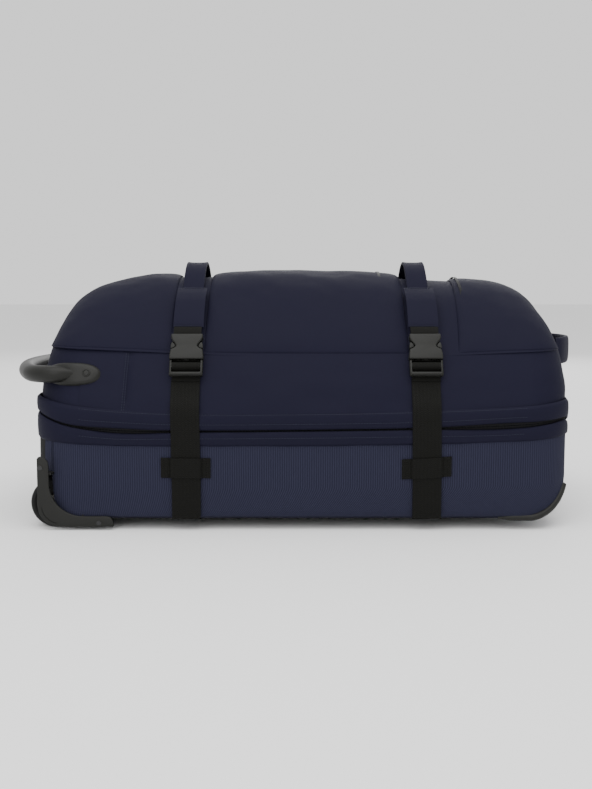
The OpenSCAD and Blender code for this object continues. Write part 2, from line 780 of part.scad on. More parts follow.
top_end_handle();
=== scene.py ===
# %% [markdown]
# # A rolling duffel bag
# A wheeled duffel is half suitcase, half sack: a stiff tub that stands on wheels and rails, and
# a soft domed lid zipped to it. The working model of the bag is already there as plain solids.
# This lesson dresses it: each fabric panel, strap, buckle and moulding is made here at its real
# place, in metres, and then rides on the body that carries it.

# %% Load the plain working model
import math

import bpy
from mathutils import Matrix, Vector, noise


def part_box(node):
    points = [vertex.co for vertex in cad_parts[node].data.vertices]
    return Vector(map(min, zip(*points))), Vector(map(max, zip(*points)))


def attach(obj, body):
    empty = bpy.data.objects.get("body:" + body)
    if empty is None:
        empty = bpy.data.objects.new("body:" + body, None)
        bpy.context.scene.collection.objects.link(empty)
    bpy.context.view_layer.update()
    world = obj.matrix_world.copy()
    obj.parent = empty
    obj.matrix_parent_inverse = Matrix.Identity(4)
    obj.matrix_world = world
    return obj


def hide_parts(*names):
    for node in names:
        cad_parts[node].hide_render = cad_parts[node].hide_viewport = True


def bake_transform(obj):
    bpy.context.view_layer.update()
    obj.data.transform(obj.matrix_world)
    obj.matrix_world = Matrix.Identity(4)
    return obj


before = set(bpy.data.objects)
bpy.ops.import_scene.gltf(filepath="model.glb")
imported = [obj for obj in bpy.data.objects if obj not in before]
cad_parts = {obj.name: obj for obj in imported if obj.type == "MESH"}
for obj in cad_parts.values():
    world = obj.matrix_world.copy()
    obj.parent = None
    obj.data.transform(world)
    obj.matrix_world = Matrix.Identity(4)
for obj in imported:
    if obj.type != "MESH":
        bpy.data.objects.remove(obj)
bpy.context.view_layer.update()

print("pieces in the working model:", len(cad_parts))

# %% [markdown]
# ## Small helpers
# Blender's operators act on whatever is selected, so each helper begins by letting go of
# everything and taking hold of one piece. Modifiers are applied at once, so that what is seen is
# what is in the mesh.

# %% Taking hold of a piece
def let_go():
    """Leave edit mode and deselect everything."""
    if bpy.context.object and bpy.context.object.mode != "OBJECT":
        bpy.ops.object.mode_set(mode="OBJECT")
    bpy.ops.object.select_all(action="DESELECT")


def hold(piece):
    """Make one piece the only selected and active one."""
    let_go()
    piece.select_set(True)
    bpy.context.view_layer.objects.active = piece
    return piece


def named(name):
    """Name the primitive that was just added."""
    piece = bpy.context.object
    piece.name = name
    piece.data.name = name
    return piece


def settle(piece):
    """Move a piece's place, turn and size into its mesh."""
    hold(piece)
    bpy.ops.object.transform_apply(location=True, rotation=True, scale=True)
    return piece


def finish_with(piece, kind, **settings):
    """Add a modifier and apply it."""
    hold(piece)
    modifier = piece.modifiers.new(kind.title(), kind)
    for key, value in settings.items():
        setattr(modifier, key, value)
    bpy.ops.object.modifier_apply(modifier=modifier.name)
    return piece


def in_edit(piece, *steps):
    """Run mesh operators on the whole of a piece in edit mode."""
    hold(piece)
    bpy.ops.object.mode_set(mode="EDIT")
    bpy.ops.mesh.select_all(action="SELECT")
    for step in steps:
        step()
    bpy.ops.object.mode_set(mode="OBJECT")
    return piece


def smooth(piece, degrees=40):
    """Shade smooth, with creases where the surface turns sharply."""
    hold(piece)
    bpy.ops.object.shade_smooth_by_angle(angle=math.radians(degrees))
    return piece

# %% [markdown]
# ## Making sheets
# Nearly everything on a soft bag is a sheet: a panel, a flap, a strap. A sheet starts as
# Blender's grid, whose corners are then moved onto the surface that a function describes. The
# grid's UV map is rewritten in metres, so that a weave keeps its size on every panel. Solidify
# gives the sheet its thickness, growing inwards from the outer face.

# %% Sheets, blocks and plates
BAG_HEART = Vector((0.009, 0.0, 0.13))


def turn_outwards(piece, heart=BAG_HEART):
    """Flip a sheet whose faces look towards the middle of the bag."""
    facing = sum((f.center - heart).dot(f.normal) * f.area for f in piece.data.polygons)
    if facing < 0:
        in_edit(piece, bpy.ops.mesh.flip_normals)


def running_length(points):
    total = [0.0]
    for a, b in zip(points, points[1:]):
        total.append(total[-1] + (b - a).length)
    return total


def sheet(name, columns, rows, place, wall=0.0, heart=BAG_HEART):
    """A grid laid on the surface place(u, v), with u and v from 0 to 1."""
    let_go()
    bpy.ops.mesh.primitive_grid_add(x_subdivisions=columns, y_subdivisions=rows, size=1)
    piece = named(name)
    mesh = piece.data
    across = running_length([place(i / columns, 0.5) for i in range(columns + 1)])
    along = running_length([place(0.5, j / rows) for j in range(rows + 1)])
    spots = [(v.co.x + 0.5, v.co.y + 0.5) for v in mesh.vertices]
    for loop, uv in zip(mesh.loops, mesh.uv_layers.active.data):
        u, v = spots[loop.vertex_index]
        uv.uv = (across[round(u * columns)], along[round(v * rows)])
    for vertex, (u, v) in zip(mesh.vertices, spots):
        vertex.co = place(u, v)
    mesh.update()
    turn_outwards(piece, heart)
    if wall:
        finish_with(piece, "SOLIDIFY", thickness=wall, offset=-1)
    return smooth(piece)


def block(name, low, high, round_off=0.0, segments=3):
    """A box between two corners with its edges rounded off."""
    low, high = Vector(low), Vector(high)
    let_go()
    bpy.ops.mesh.primitive_cube_add(size=1, location=(low + high) / 2)
    piece = named(name)
    piece.scale = high - low
    settle(piece)
    if round_off:
        finish_with(piece, "BEVEL", width=round_off, segments=segments)
    return smooth(piece)


def plate(name, outline, depth, round_off=0.0, segments=3):
    """A flat plate: a filled ring of points, extruded by the vector depth."""
    let_go()
    bpy.ops.mesh.primitive_circle_add(vertices=len(outline), fill_type="NGON")
    piece = named(name)
    for vertex, point in zip(piece.data.vertices, outline):
        vertex.co = point

    def thicken():
        bpy.ops.mesh.extrude_region_move(TRANSFORM_OT_translate={"value": depth})
        bpy.ops.mesh.select_all(action="SELECT")
        bpy.ops.mesh.normals_make_consistent(inside=False)

    in_edit(piece, thicken)
    if round_off:
        finish_with(piece, "BEVEL", width=round_off, segments=segments, angle_limit=math.radians(40))
    return smooth(piece)


def round_bar(name, start, end, radius, vertices=32, round_off=0.0):
    """A straight round bar between two points."""
    start, end = Vector(start), Vector(end)
    let_go()
    bpy.ops.mesh.primitive_cylinder_add(
        vertices=vertices, radius=radius, depth=(end - start).length, location=(start + end) / 2)
    piece = named(name)
    piece.rotation_euler = (end - start).to_track_quat("Z", "Y").to_euler()
    settle(piece)
    if round_off:
        finish_with(piece, "BEVEL", width=round_off, segments=3, angle_limit=math.radians(40))
    return smooth(piece)


def cut(piece, tool):
    """Take a tool's volume out of a piece and throw the tool away."""
    finish_with(piece, "BOOLEAN", object=tool, operation="DIFFERENCE", solver="EXACT")
    bpy.data.objects.remove(tool)
    return smooth(piece)


def join(name, pieces):
    """Make several pieces one."""
    hold(pieces[0])
    for piece in pieces[1:]:
        piece.select_set(True)
    bpy.ops.object.join()
    return named(name)


def across_copy(piece, name):
    """A copy on the other side of the bag's centre plane, with its own mesh."""
    hold(piece)
    bpy.ops.object.duplicate()
    twin = named(name)
    twin.scale.y = -1
    settle(twin)
    in_edit(twin, bpy.ops.mesh.flip_normals)
    return twin


# %% [markdown]
# ## Smooth lines through a few points
# The seams of the bag are gentle curves. Each is given by a few heights along the bag's length,
# and a cubic runs smoothly through them, as a sewn line does.

# %% Curves through points
def through(points, x):
    """The height at x of a smooth line through (x, height) points."""
    if x <= points[0][0]:
        return points[0][1]
    if x >= points[-1][0]:
        return points[-1][1]
    i = max(k for k in range(len(points) - 1) if points[k][0] <= x)
    (x0, y0), (x1, y1) = points[i], points[i + 1]
    xa, ya = points[max(i - 1, 0)]
    xb, yb = points[min(i + 2, len(points) - 1)]
    t = (x - x0) / (x1 - x0)
    slope0 = (y1 - ya) / (x1 - xa) * (x1 - x0)
    slope1 = (yb - y0) / (xb - x0) * (x1 - x0)
    return ((2 * t**3 - 3 * t**2 + 1) * y0 + (t**3 - 2 * t**2 + t) * slope0
            + (3 * t**2 - 2 * t**3) * y1 + (t**3 - t**2) * slope1)


def ease(low, high, x):
    """0 below low, 1 above high, and a soft step between."""
    t = min(1.0, max(0.0, (x - low) / (high - low)))
    return t * t * (3 - 2 * t)


def hill(x, middle, half_width):
    """A soft bump of height 1 round a middle."""
    return math.exp(-((x - middle) / half_width) ** 2)


def path_through(points, count):
    """Evenly numbered points on a smooth path through a few points."""
    spans = len(points) - 1
    found = []
    for n in range(count + 1):
        s = n / count * spans
        i = min(int(s), spans - 1)
        t = s - i
        a, b, c, d = (points[min(max(k, 0), spans)] for k in (i - 1, i, i + 1, i + 2))
        found.append(b + 0.5 * t * (c - a + t * (2 * a - 5 * b + 4 * c - d + t * (3 * (b - c) + d - a))))
    return found

# %% [markdown]
# ## The shape of the bag
# Seen from above, the bag is a rectangle with round corners at every height. A place on its wall
# is told by the distance walked around that rectangle and by a height, and the rectangle shrinks
# as the lid's side wall leans in towards its seam.

# %% The outline at any height
panel_low, panel_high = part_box("front_panel")
ends_low, ends_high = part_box("lid_ends")
LEFT, RIGHT = ends_low.x, ends_high.x
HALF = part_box("lid_sides")[1].y
SEAM_LEFT, SEAM_RIGHT = panel_low.x, panel_high.x
SEAM_HALF = panel_high.y
CROWN = panel_high.z - panel_low.z
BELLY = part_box("back_panel")[0].z
PLAN_R = 0.065
SEAM_R = 0.055
HEEL_R = 0.068
BODY = (LEFT, RIGHT, HALF, PLAN_R)
TOP_EDGE = (SEAM_LEFT, SEAM_RIGHT, SEAM_HALF, SEAM_R)
SIDE_LEN = RIGHT - LEFT - 2 * PLAN_R
END_LEN = 2 * HALF - 2 * PLAN_R
BEND_LEN = PLAN_R * math.pi / 2
LAP = 2 * (SIDE_LEN + END_LEN) + 4 * BEND_LEN
TOP_END = SIDE_LEN + BEND_LEN
FAR_SIDE = TOP_END + END_LEN + BEND_LEN


def around(s, outline):
    """Point and outward direction after walking s round an outline, from its near left."""
    x0, x1, half, r = outline
    s %= LAP
    legs = (SIDE_LEN, BEND_LEN, END_LEN, BEND_LEN) * 2
    leg = 0
    while leg < 7 and s > legs[leg]:
        s -= legs[leg]
        leg += 1
    t = s / legs[leg]
    quarter = leg // 2
    corner = ((x1 - r, -half + r), (x1 - r, half - r), (x0 + r, half - r), (x0 + r, -half + r))
    if leg % 2:
        cx, cy = corner[quarter]
        turn = math.radians(-90 + 90 * (quarter + t))
        out = Vector((math.cos(turn), math.sin(turn), 0))
        return Vector((cx, cy, 0)) + out * r, out
    turn = math.radians(-90 + 90 * quarter)
    out = Vector((round(math.cos(turn)), round(math.sin(turn)), 0))
    a, b = Vector((*corner[quarter - 1], 0)), Vector((*corner[quarter], 0))
    return a.lerp(b, t) + out * r, out


def mixed(a, b, t):
    return tuple(p + (q - p) * t for p, q in zip(a, b))


print("once round the bag:", round(LAP, 3), "m")

# %% [markdown]
# The zip runs in a shallow smile along the near side and climbs at both ends. On the far side,
# where base and lid are sewn together as a hinge, it is level.

# %% Seam lines
ZIP_LINE = [(-0.352, 0.155), (-0.30, 0.140), (-0.228, 0.1325), (-0.13, 0.132), (0.0, 0.133),
            (0.19, 0.136), (0.30, 0.1405), (0.37, 0.147)]
LOWER_SEAM = [(-0.352, 0.117), (-0.22, 0.1125), (-0.10, 0.112), (0.05, 0.1125), (0.19, 0.115),
              (0.30, 0.119), (0.37, 0.123)]
UPPER_SEAM = [(-0.352, 0.176), (-0.30, 0.166), (-0.228, 0.159), (-0.13, 0.1555), (0.03, 0.156),
              (0.19, 0.1593), (0.30, 0.164), (0.37, 0.171)]
CROWN_SEAM = [(-0.34, 0.2410), (-0.225, 0.236), (-0.116, 0.231), (0.0, 0.2295), (0.199, 0.230),
              (0.274, 0.233), (0.364, 0.237)]
HINGE_Z = 0.137


def seam_height(line, x, y, far):
    """A seam's height over a place, levelling out towards the far side."""
    return through(line, x) + (far - through(line, x)) * ease(0.0, 0.17, y)


def zip_height(x, y):
    return seam_height(ZIP_LINE, x, y, HINGE_Z)


def lower_seam(x, y):
    return seam_height(LOWER_SEAM, x, y, 0.114)


def upper_seam(x, y):
    return seam_height(UPPER_SEAM, x, y, 0.158)


def crown_seam(x, y):
    return seam_height(CROWN_SEAM, x, y, 0.233)


def zip_gap(x, y):
    """Half of the gap between the two flaps: it gapes beside the straps' pull."""
    gape = 0.0022 * hill(x, -0.232, 0.05) + 0.0028 * hill(x, 0.275, 0.07)
    return 0.0013 + gape * (1 - ease(-0.05, 0.10, y))

# %% [markdown]
# ## Shader maths in plain Python
# Materials here are sums of noise and waves. Writing them as Python expressions keeps them
# readable: one small class wraps a socket, and each operator adds the Math node it stands for.

# %% A socket that can be used in sums
class Signal:
    def __init__(self, tree, socket):
        self.tree = tree
        self.socket = socket

    def maths(self, operation, first, second=None):
        node = self.tree.nodes.new("ShaderNodeMath")
        node.operation = operation
        for slot_in, value in zip(node.inputs, (first, second)):
            if isinstance(value, Signal):
                self.tree.links.new(value.socket, slot_in)
            elif value is not None:
                slot_in.default_value = value
        return Signal(self.tree, node.outputs[0])

    def __add__(self, other):
        return self.maths("ADD", self, other)

    __radd__ = __add__

    def __mul__(self, other):
        return self.maths("MULTIPLY", self, other)

    __rmul__ = __mul__

    def __sub__(self, other):
        return self.maths("SUBTRACT", self, other)

    def __rsub__(self, other):
        return self.maths("SUBTRACT", other, self)

    def __pow__(self, other):
        return self.maths("POWER", self, other)

    def __abs__(self):
        return self.maths("ABSOLUTE", self)

    def sine(self):
        return self.maths("SINE", self)


# %% [markdown]
# A finish is one Principled shader with its nodes. Numbers that are the same all over are set on
# the shader's own sockets; only what changes over the surface is linked.

# %% A finish with its nodes
class Finish:
    def __init__(self, name, colour, roughness, specular=0.5, metallic=0.0, sheen=0.0):
        self.material = bpy.data.materials.new(name)
        self.material.use_nodes = True
        self.tree = self.material.node_tree
        self.shader = self.tree.nodes["Principled BSDF"]
        self.colour = colour
        self.shader.inputs["Base Color"].default_value = (*colour, 1)
        self.shader.inputs["Roughness"].default_value = roughness
        self.shader.inputs["Specular IOR Level"].default_value = specular
        self.shader.inputs["Metallic"].default_value = metallic
        self.shader.inputs["Sheen Weight"].default_value = sheen
        self.shader.inputs["Sheen Roughness"].default_value = 0.5

    def node(self, kind, settings=None, inputs=None, out=0):
        """Any other node: its type, its settings first, then its sockets."""
        node = self.tree.nodes.new(kind)
        for key, value in (settings or {}).items():
            setattr(node, key, value)
        for key, value in (inputs or {}).items():
            if isinstance(value, Signal):
                self.tree.links.new(value.socket, node.inputs[key])
            else:
                node.inputs[key].default_value = value
        return Signal(self.tree, node.outputs[out])

    def place(self, source="Object"):
        """Coordinates in metres: the object's own, or its UV map."""
        return self.node("ShaderNodeTexCoord", out=source)

    def axes(self, vector):
        """The three numbers of a vector."""
        split = self.tree.nodes.new("ShaderNodeSeparateXYZ")
        self.tree.links.new(vector.socket, split.inputs[0])
        return [Signal(self.tree, socket) for socket in split.outputs]

    def noise(self, vector, scale, detail=3.0, roughness=0.5):
        return self.node("ShaderNodeTexNoise", inputs={
            "Vector": vector, "Scale": scale, "Detail": detail, "Roughness": roughness})

    def mix(self, amount, first, second):
        """Blend two colours by a signal."""
        node = self.tree.nodes.new("ShaderNodeMix")
        node.data_type = "RGBA"
        self.tree.links.new(amount.socket, node.inputs[0])
        node.inputs[6].default_value = (*first, 1)
        node.inputs[7].default_value = (*second, 1)
        return Signal(self.tree, node.outputs[2])

    def feed(self, name, signal):
        self.tree.links.new(signal.socket, self.shader.inputs[name])

    def bump(self, height, distance, strength=1.0):
        """Raise the surface by a signal, over any bump that is there already."""
        inputs = {"Height": height, "Distance": distance, "Strength": strength}
        if hasattr(self, "raised"):
            inputs["Normal"] = self.raised
        self.raised = self.node("ShaderNodeBump", inputs=inputs)
        self.feed("Normal", self.raised)


def shade(colour, factor):
    return tuple(c * factor for c in colour)


def dress(piece, finish):
    """Give a piece one finish."""
    piece.data.materials.clear()
    piece.data.materials.append(finish.material)
    return piece

# %% [markdown]
# ## Fabrics
# The lid is a smooth coated polyester: a plain weave so fine that it shows only as a soft sparkle, with faint
# cloudy patches where the coating takes the light differently. The base is a heavier cloth with upright ribs,
# whose colour is painted darker in the grooves and lighter on the crests as painted shade. Both read the UV
# map, which is in metres, so the threads stay the same size on each panel.

# %% Smooth and ribbed navy, black ballistic cloth, lining
NAVY = (0.0086, 0.0082, 0.0182)
RIB_NAVY = (0.0175, 0.0180, 0.0330)
THREAD_STEP = 0.0011


def woven(name, colour, roughness, step, depth, sheen=0.0, ribs=0.0, clouds=0.10):
    finish = Finish(name, colour, roughness, specular=0.05, sheen=sheen)
    cloth = finish.place("UV")
    u, v, _ = finish.axes(cloth)
    turn = 2 * math.pi / step
    weave = (u * turn).sine() * (v * turn).sine()
    finish.bump(weave * 0.5 + 0.5, depth)
    if ribs:
        finish.bump((u * (2 * math.pi / ribs)).sine() * 0.5 + 0.5, depth * 2.2)
    patches = finish.noise(cloth, 9.0, detail=4.0)
    fibres = finish.noise(cloth, 900.0, detail=1.0)
    tone = patches * clouds * 2 + fibres * 0.35
    # Painted shade: the rib colour term darkens the grooves and lightens the crests, in step with the rib
    # bump.
    if ribs:
        tone = tone + (u * (2 * math.pi / ribs)).sine() * 0.6
    finish.feed("Base Color", finish.mix(tone, shade(colour, 0.82), shade(colour, 1.45)))
    finish.feed("Roughness", patches * 0.12 + (roughness - 0.06))
    finish.bump(finish.noise(cloth, 34.0, detail=3.0), 0.0010, strength=0.35)
    return finish


smooth_navy = woven("smooth_navy_polyester", NAVY, 0.62, THREAD_STEP, 0.00006)
ribbed_navy = woven("ribbed_navy_polyester", RIB_NAVY, 0.72, 0.0013, 0.00012, ribs=0.0030)
ballistic_black = woven("black_ballistic_cloth", (0.012, 0.012, 0.0125), 0.7, 0.0022, 0.0002)
lining_grey = woven("grey_lining", (0.10, 0.10, 0.11), 0.7, 0.0014, 0.00006)
print("fabrics: 4")

# %% [markdown]
# ## Webbing and stitching
# Polypropylene webbing has a fine herringbone and a rounded, slightly shinier selvedge. Its ribs run across
# the strap, so they are drawn along the UV map's second direction; the colour follows them too, as painted
# shade in the grooves and painted highlight on the crests.

# %% Webbing and thread
def webbing_finish(name, colour):
    finish = Finish(name, colour, 0.6, specular=0.10)
    cloth = finish.place("UV")
    u, v, _ = finish.axes(cloth)
    zigzag = abs((u * (2 * math.pi / 0.0095)).sine()) * 0.0022
    ribs = ((v + zigzag) * (2 * math.pi / 0.0024)).sine() * 0.5 + 0.5
    finish.bump(ribs, 0.00030)
    # Painted shade: the colour follows the ribs of the bump, darker in the grooves and lighter on the crests;
    # the noise adds random tone.
    tone = ribs * 0.5 + finish.noise(cloth, 420.0) * 0.4
    finish.feed("Base Color", finish.mix(tone, shade(colour, 0.55), shade(colour, 1.5)))
    return finish


webbing = webbing_finish("black_webbing", (0.0036, 0.0036, 0.0028))
thread = Finish("navy_thread", (0.022, 0.024, 0.038), 0.6, specular=0.1)
thread.bump(thread.noise(thread.place(), 1500.0), 0.0001)
black_thread = Finish("black_thread", (0.0110, 0.0110, 0.0098), 0.6, specular=0.1)
black_thread.bump(black_thread.noise(black_thread.place(), 1500.0), 0.0001)
print("webbing and thread ready")

# %% [markdown]
# ## Plastics, rubber and metal
# The mouldings have a fine spark-eroded grain: a tight noise in the bump, and a roughness that
# wanders a little where hands have polished it.

# %% Hard finishes
def moulded(name, colour, roughness, grain=0.00005, scale=1400.0, metallic=0.0, specular=0.5):
    finish = Finish(name, colour, roughness, specular=specular, metallic=metallic)
    spot = finish.place()
    wander = finish.noise(spot, 18.0, detail=4.0)
    finish.feed("Roughness", wander * 0.18 + (roughness - 0.09))
    finish.bump(finish.noise(spot, scale, detail=2.0), grain)
    finish.feed("Base Color", finish.mix(wander, shade(colour, 0.85), shade(colour, 1.2)))
    return finish


black_plastic = moulded("black_plastic", (0.0095, 0.0096, 0.0084), 0.46, specular=0.2)
buckle_plastic = moulded("buckle_plastic", (0.0105, 0.0107, 0.0094), 0.44, specular=0.2)
tyre_rubber = moulded("tyre_rubber", (0.007, 0.007, 0.007), 0.6, grain=0.0001, specular=0.15)
coil_nylon = moulded("coil_nylon", (0.004, 0.004, 0.005), 0.5, specular=0.1)
lacquered_zinc = moulded("lacquered_zinc", (0.012, 0.012, 0.013), 0.35, grain=0.00001, specular=0.4)
plated_steel = moulded("plated_steel", (0.40, 0.40, 0.38), 0.35, grain=0.00001, metallic=1.0)
rivet_steel = moulded("rivet_steel", (0.110, 0.110, 0.104), 0.5, grain=0.00002, specular=0.4)
board_plastic = moulded("board_plastic", (0.05, 0.05, 0.055), 0.5)
board_plastic.bump(board_plastic.axes(board_plastic.place())[1] * 600, 0.0002)


def brushed_tube():
    finish = Finish("anodised_tube", (0.42, 0.43, 0.45), 0.32, metallic=1.0)
    stretched = finish.node("ShaderNodeMapping", inputs={
        "Vector": finish.place(), "Scale": (6.0, 1400.0, 1400.0)})
    lines = finish.noise(stretched, 1.0, detail=2.0)
    finish.feed("Roughness", lines * 0.25 + 0.2)
    finish.bump(lines, 0.00002)
    return finish


anodised = brushed_tube()
print("hard finishes ready")

# %% [markdown]
# ## Fitting a piece
# Each finished piece is given its finish and says two things: which body of the bag carries it, and which
# plain solids it stands for. The solids stay in the working model for collision and are only hidden here.

# %% Handing a piece over to its body
def fit(piece, finish, body, group, *solids):
    dress(piece, finish)
    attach(piece, body)
    if solids:
        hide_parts(*solids)
    return piece


def line_inside(piece, heart=Vector((0.009, 0, 0.12))):
    """Give the faces that look into the bag the lining's finish."""
    piece.data.materials.append(lining_grey.material)
    for face in piece.data.polygons:
        if face.normal.dot(heart - face.center) > 0.02 * face.normal.length:
            face.material_index = 1
    return piece


def repaint(node, finish):
    """Give a solid that is already right a better surface."""
    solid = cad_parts[node]
    solid.data.materials.clear()
    solid.data.materials.append(finish.material)

# %% [markdown]
# ## The tub
# The lower half is a stiff tub. Its wall follows the outline, and at the top end the underside
# turns up in a round heel, so that the bag can be tipped onto its end. A point of the wall that
# would stand beyond the heel is pulled back onto it.

# %% A point on the tub's wall
HEEL_TOP = BELLY + HEEL_R
EDGE_R = 0.006
WALL = 0.0024
TRAY_HALF = 0.1025
TRAY_TOP = 0.0668


def heel_x(z):
    """How far the top end reaches at a height."""
    drop = max(0.0, HEEL_TOP - z)
    return RIGHT - HEEL_R + math.sqrt(max(0.0, HEEL_R ** 2 - drop ** 2))


def tub_point(s, z, proud=0.0):
    place, out = around(s, BODY)
    under = max(0.0, BELLY + EDGE_R - z)
    proud -= EDGE_R - math.sqrt(max(0.0, EDGE_R ** 2 - under ** 2))
    place += out * proud
    place.x = min(place.x, heel_x(z) + proud)
    place.z = z
    return place


def crease(z):
    """Distance along the outline to the guard on the heel's near corner."""
    x = min(heel_x(z) - 0.003, RIGHT - 0.009)
    past = (x - (RIGHT - PLAN_R)) / PLAN_R
    if past < 0:
        return x - (LEFT + PLAN_R)
    return SIDE_LEN + BEND_LEN * math.asin(past) / (math.pi / 2)


def ripple(place, size, height):
    """Small unevenness of cloth."""
    return height * noise.noise(place / size)

# %% [markdown]
# The side panels are of the ribbed cloth. Each wraps from behind the wheel housing's arm to the
# guard on the heel. Behind the arm the panel stops above the open wheel well.

# %% Side panels
WRAP = 0.0555
ARM_BACK = -0.325
WELL_TOP = 0.0745


def side_place(u, v):
    level = BELLY + v * 0.098
    s = -WRAP + (crease(level) + WRAP) * u
    spot, _ = around(s, BODY)
    foot = BELLY if spot.x > ARM_BACK else WELL_TOP
    z = foot + (lower_seam(spot.x, spot.y) + 0.002 - foot) * v
    bulge = 0.0010 * math.sin(math.pi * v)
    return tub_point(s, z, bulge + ripple(Vector((s, z, 0)), 0.05, 0.0006))


near_panel = sheet("near_side_panel_cloth", 150, 26, side_place, WALL)
far_panel = across_copy(near_panel, "far_side_panel_cloth")
fit(near_panel, ribbed_navy, "base", "navy_ribbed_fabric", "side_panels")
fit(far_panel, ribbed_navy, "base", "navy_ribbed_fabric")
print("side panels:", [round(x, 3) for x in near_panel.dimensions])

# %% [markdown]
# The two ends and the underside are of black ballistic cloth, which stands scraping. The top end
# is open in its middle, where the trolley's tray sits, and the wheel wells are cut out of the
# wheel end with round cutters.

# %% Ends of the tub
END_START = SIDE_LEN + BEND_LEN


def end_cheek_place(u, v):
    """Near part of the top end, beside the tray."""
    level = BELLY + v * 0.104
    start = crease(level) - 0.004
    s = start + (END_START + END_LEN / 2 - TRAY_HALF - start) * u
    spot, _ = around(s, BODY)
    z = BELLY + (lower_seam(RIGHT, spot.y) + 0.002 - BELLY) * v
    return tub_point(s, z, -0.0006)


def end_middle_place(u, v):
    s = END_START + END_LEN / 2 + TRAY_HALF * (2 * u - 1)
    spot, _ = around(s, BODY)
    z = TRAY_TOP + (lower_seam(RIGHT, spot.y) + 0.002 - TRAY_TOP) * v
    return tub_point(s, z, -0.0006)


def wheel_end_place(u, v):
    first = FAR_SIDE + SIDE_LEN + WRAP
    s = first + (LAP - WRAP - first) * u
    spot, _ = around(s, BODY)
    z = BELLY + (lower_seam(spot.x, spot.y) + 0.002 - BELLY) * v
    return tub_point(s, z, 0.0006 * math.sin(math.pi * v))


cheek = sheet("end_cheek", 26, 30, end_cheek_place, WALL)
cheek_far = across_copy(cheek, "end_cheek_far")
top_end = join("top_end_cloth", [cheek, cheek_far, sheet("end_middle", 30, 12, end_middle_place, WALL)])
fit(top_end, ribbed_navy, "base", "navy_ribbed_fabric", "top_end_panel", "heel_cheeks")

wheel_end = sheet("wheel_end_cloth", 70, 24, wheel_end_place, WALL)
axle_spot = (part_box("wheel_axles")[0].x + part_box("wheel_axles")[1].x) / 2
WHEEL_X, WHEEL_Z, WELL_R = axle_spot, 0.033, 0.0412
for side in (-1, 1):
    cut(wheel_end, round_bar("well_cutter", (WHEEL_X, side * 0.1435, WHEEL_Z),
                             (WHEEL_X, side * 0.26, WHEEL_Z), WELL_R, 48))
fit(wheel_end, ballistic_black, "base", "black_fabric", "wheel_end_panel")
print("axle at x =", round(WHEEL_X, 4))

# %% Underside
belly_stops_x = [LEFT + 0.002, -0.2815, 0.2795, RIGHT - HEEL_R + 0.002]
belly_stops_y = [-0.1915, -0.1462, -TRAY_HALF, TRAY_HALF, 0.1462, 0.1915]


def along_stops(stops, t):
    i = min(int(t * (len(stops) - 1)), len(stops) - 2)
    return stops[i] + (stops[i + 1] - stops[i]) * (t * (len(stops) - 1) - i)


def belly_place(u, v):
    return Vector((along_stops(belly_stops_x, u), along_stops(belly_stops_y, v), BELLY))


belly = sheet("underside_cloth", 36, 30, belly_place)
hold(belly)
bpy.context.tool_settings.mesh_select_mode = (False, False, True)
for part in (belly.data.vertices, belly.data.edges):
    part.foreach_set("select", [False] * len(part))
for face in belly.data.polygons:
    x, y = face.center.x, abs(face.center.y)
    face.select = (x < belly_stops_x[1] and y > belly_stops_y[4]) or (x > belly_stops_x[2] and y < TRAY_HALF)
bpy.ops.object.mode_set(mode="EDIT")
bpy.ops.mesh.delete(type="FACE")
bpy.ops.object.mode_set(mode="OBJECT")
bpy.context.tool_settings.mesh_select_mode = (True, False, False)
finish_with(belly, "SOLIDIFY", thickness=WALL, offset=-1)
print("underside faces:", len(belly.data.polygons))
fit(belly, ballistic_black, "base", "black_fabric", "back_panel")

# %% [markdown]
# ## Storm flaps and zip
# Over the zip lie two flaps of the smooth cloth, one sewn to the tub and one to the lid. Each is a
# doubled strip: it rises from its seam, lies a little proud, and folds in at the zip. Between the
# sliders' places on the top end the flaps stand further apart.

# %% Flaps
FLAP_OUT = 0.0016
WINDOW = 0.13


def level_share(x, y):
    """How far the zip line has levelled out: it is level across the top end."""
    return ease(0.31, 0.36, x) * ease(-0.168, -0.13, y)


def zip_middle(x, y):
    return zip_height(x, y) + (HINGE_Z - zip_height(x, y)) * level_share(x, y)


def half_gap(x, y):
    window = ease(RIGHT - 0.02, RIGHT - 0.004, x) * (1 - ease(WINDOW - 0.004, WINDOW + 0.006, abs(y)))
    return zip_gap(x, y) * (1 - window) + 0.0068 * window


def flap_profile(v):
    """How proud a flap lies from its seam, v = 0, to its folded edge, v = 1."""
    rise = ease(0.0, 0.14, v)
    fold = ease(0.86, 1.0, v)
    return -0.0012 + (FLAP_OUT + 0.0012) * rise + 0.0012 * math.sin(math.pi * v) - 0.0030 * fold


def lower_flap_place(u, v):
    s = LAP * u
    spot, out = around(s, BODY)
    low, high = lower_seam(spot.x, spot.y) - 0.001, zip_middle(spot.x, spot.y) - half_gap(spot.x, spot.y)
    z = low + (high - low) * min(1.0, v / 0.93)
    return spot + out * (flap_profile(v) + ripple(Vector((s, z, 1)), 0.04, 0.0007)) + Vector((0, 0, z))


def upper_flap_place(u, v):
    s = LAP * u
    spot, out = around(s, BODY)
    low, high = zip_middle(spot.x, spot.y) + half_gap(spot.x, spot.y), upper_seam(spot.x, spot.y) + 0.001
    z = high + (low - high) * min(1.0, v / 0.93)
    return spot + out * (flap_profile(v) + ripple(Vector((s, z, 2)), 0.04, 0.0007)) + Vector((0, 0, z))


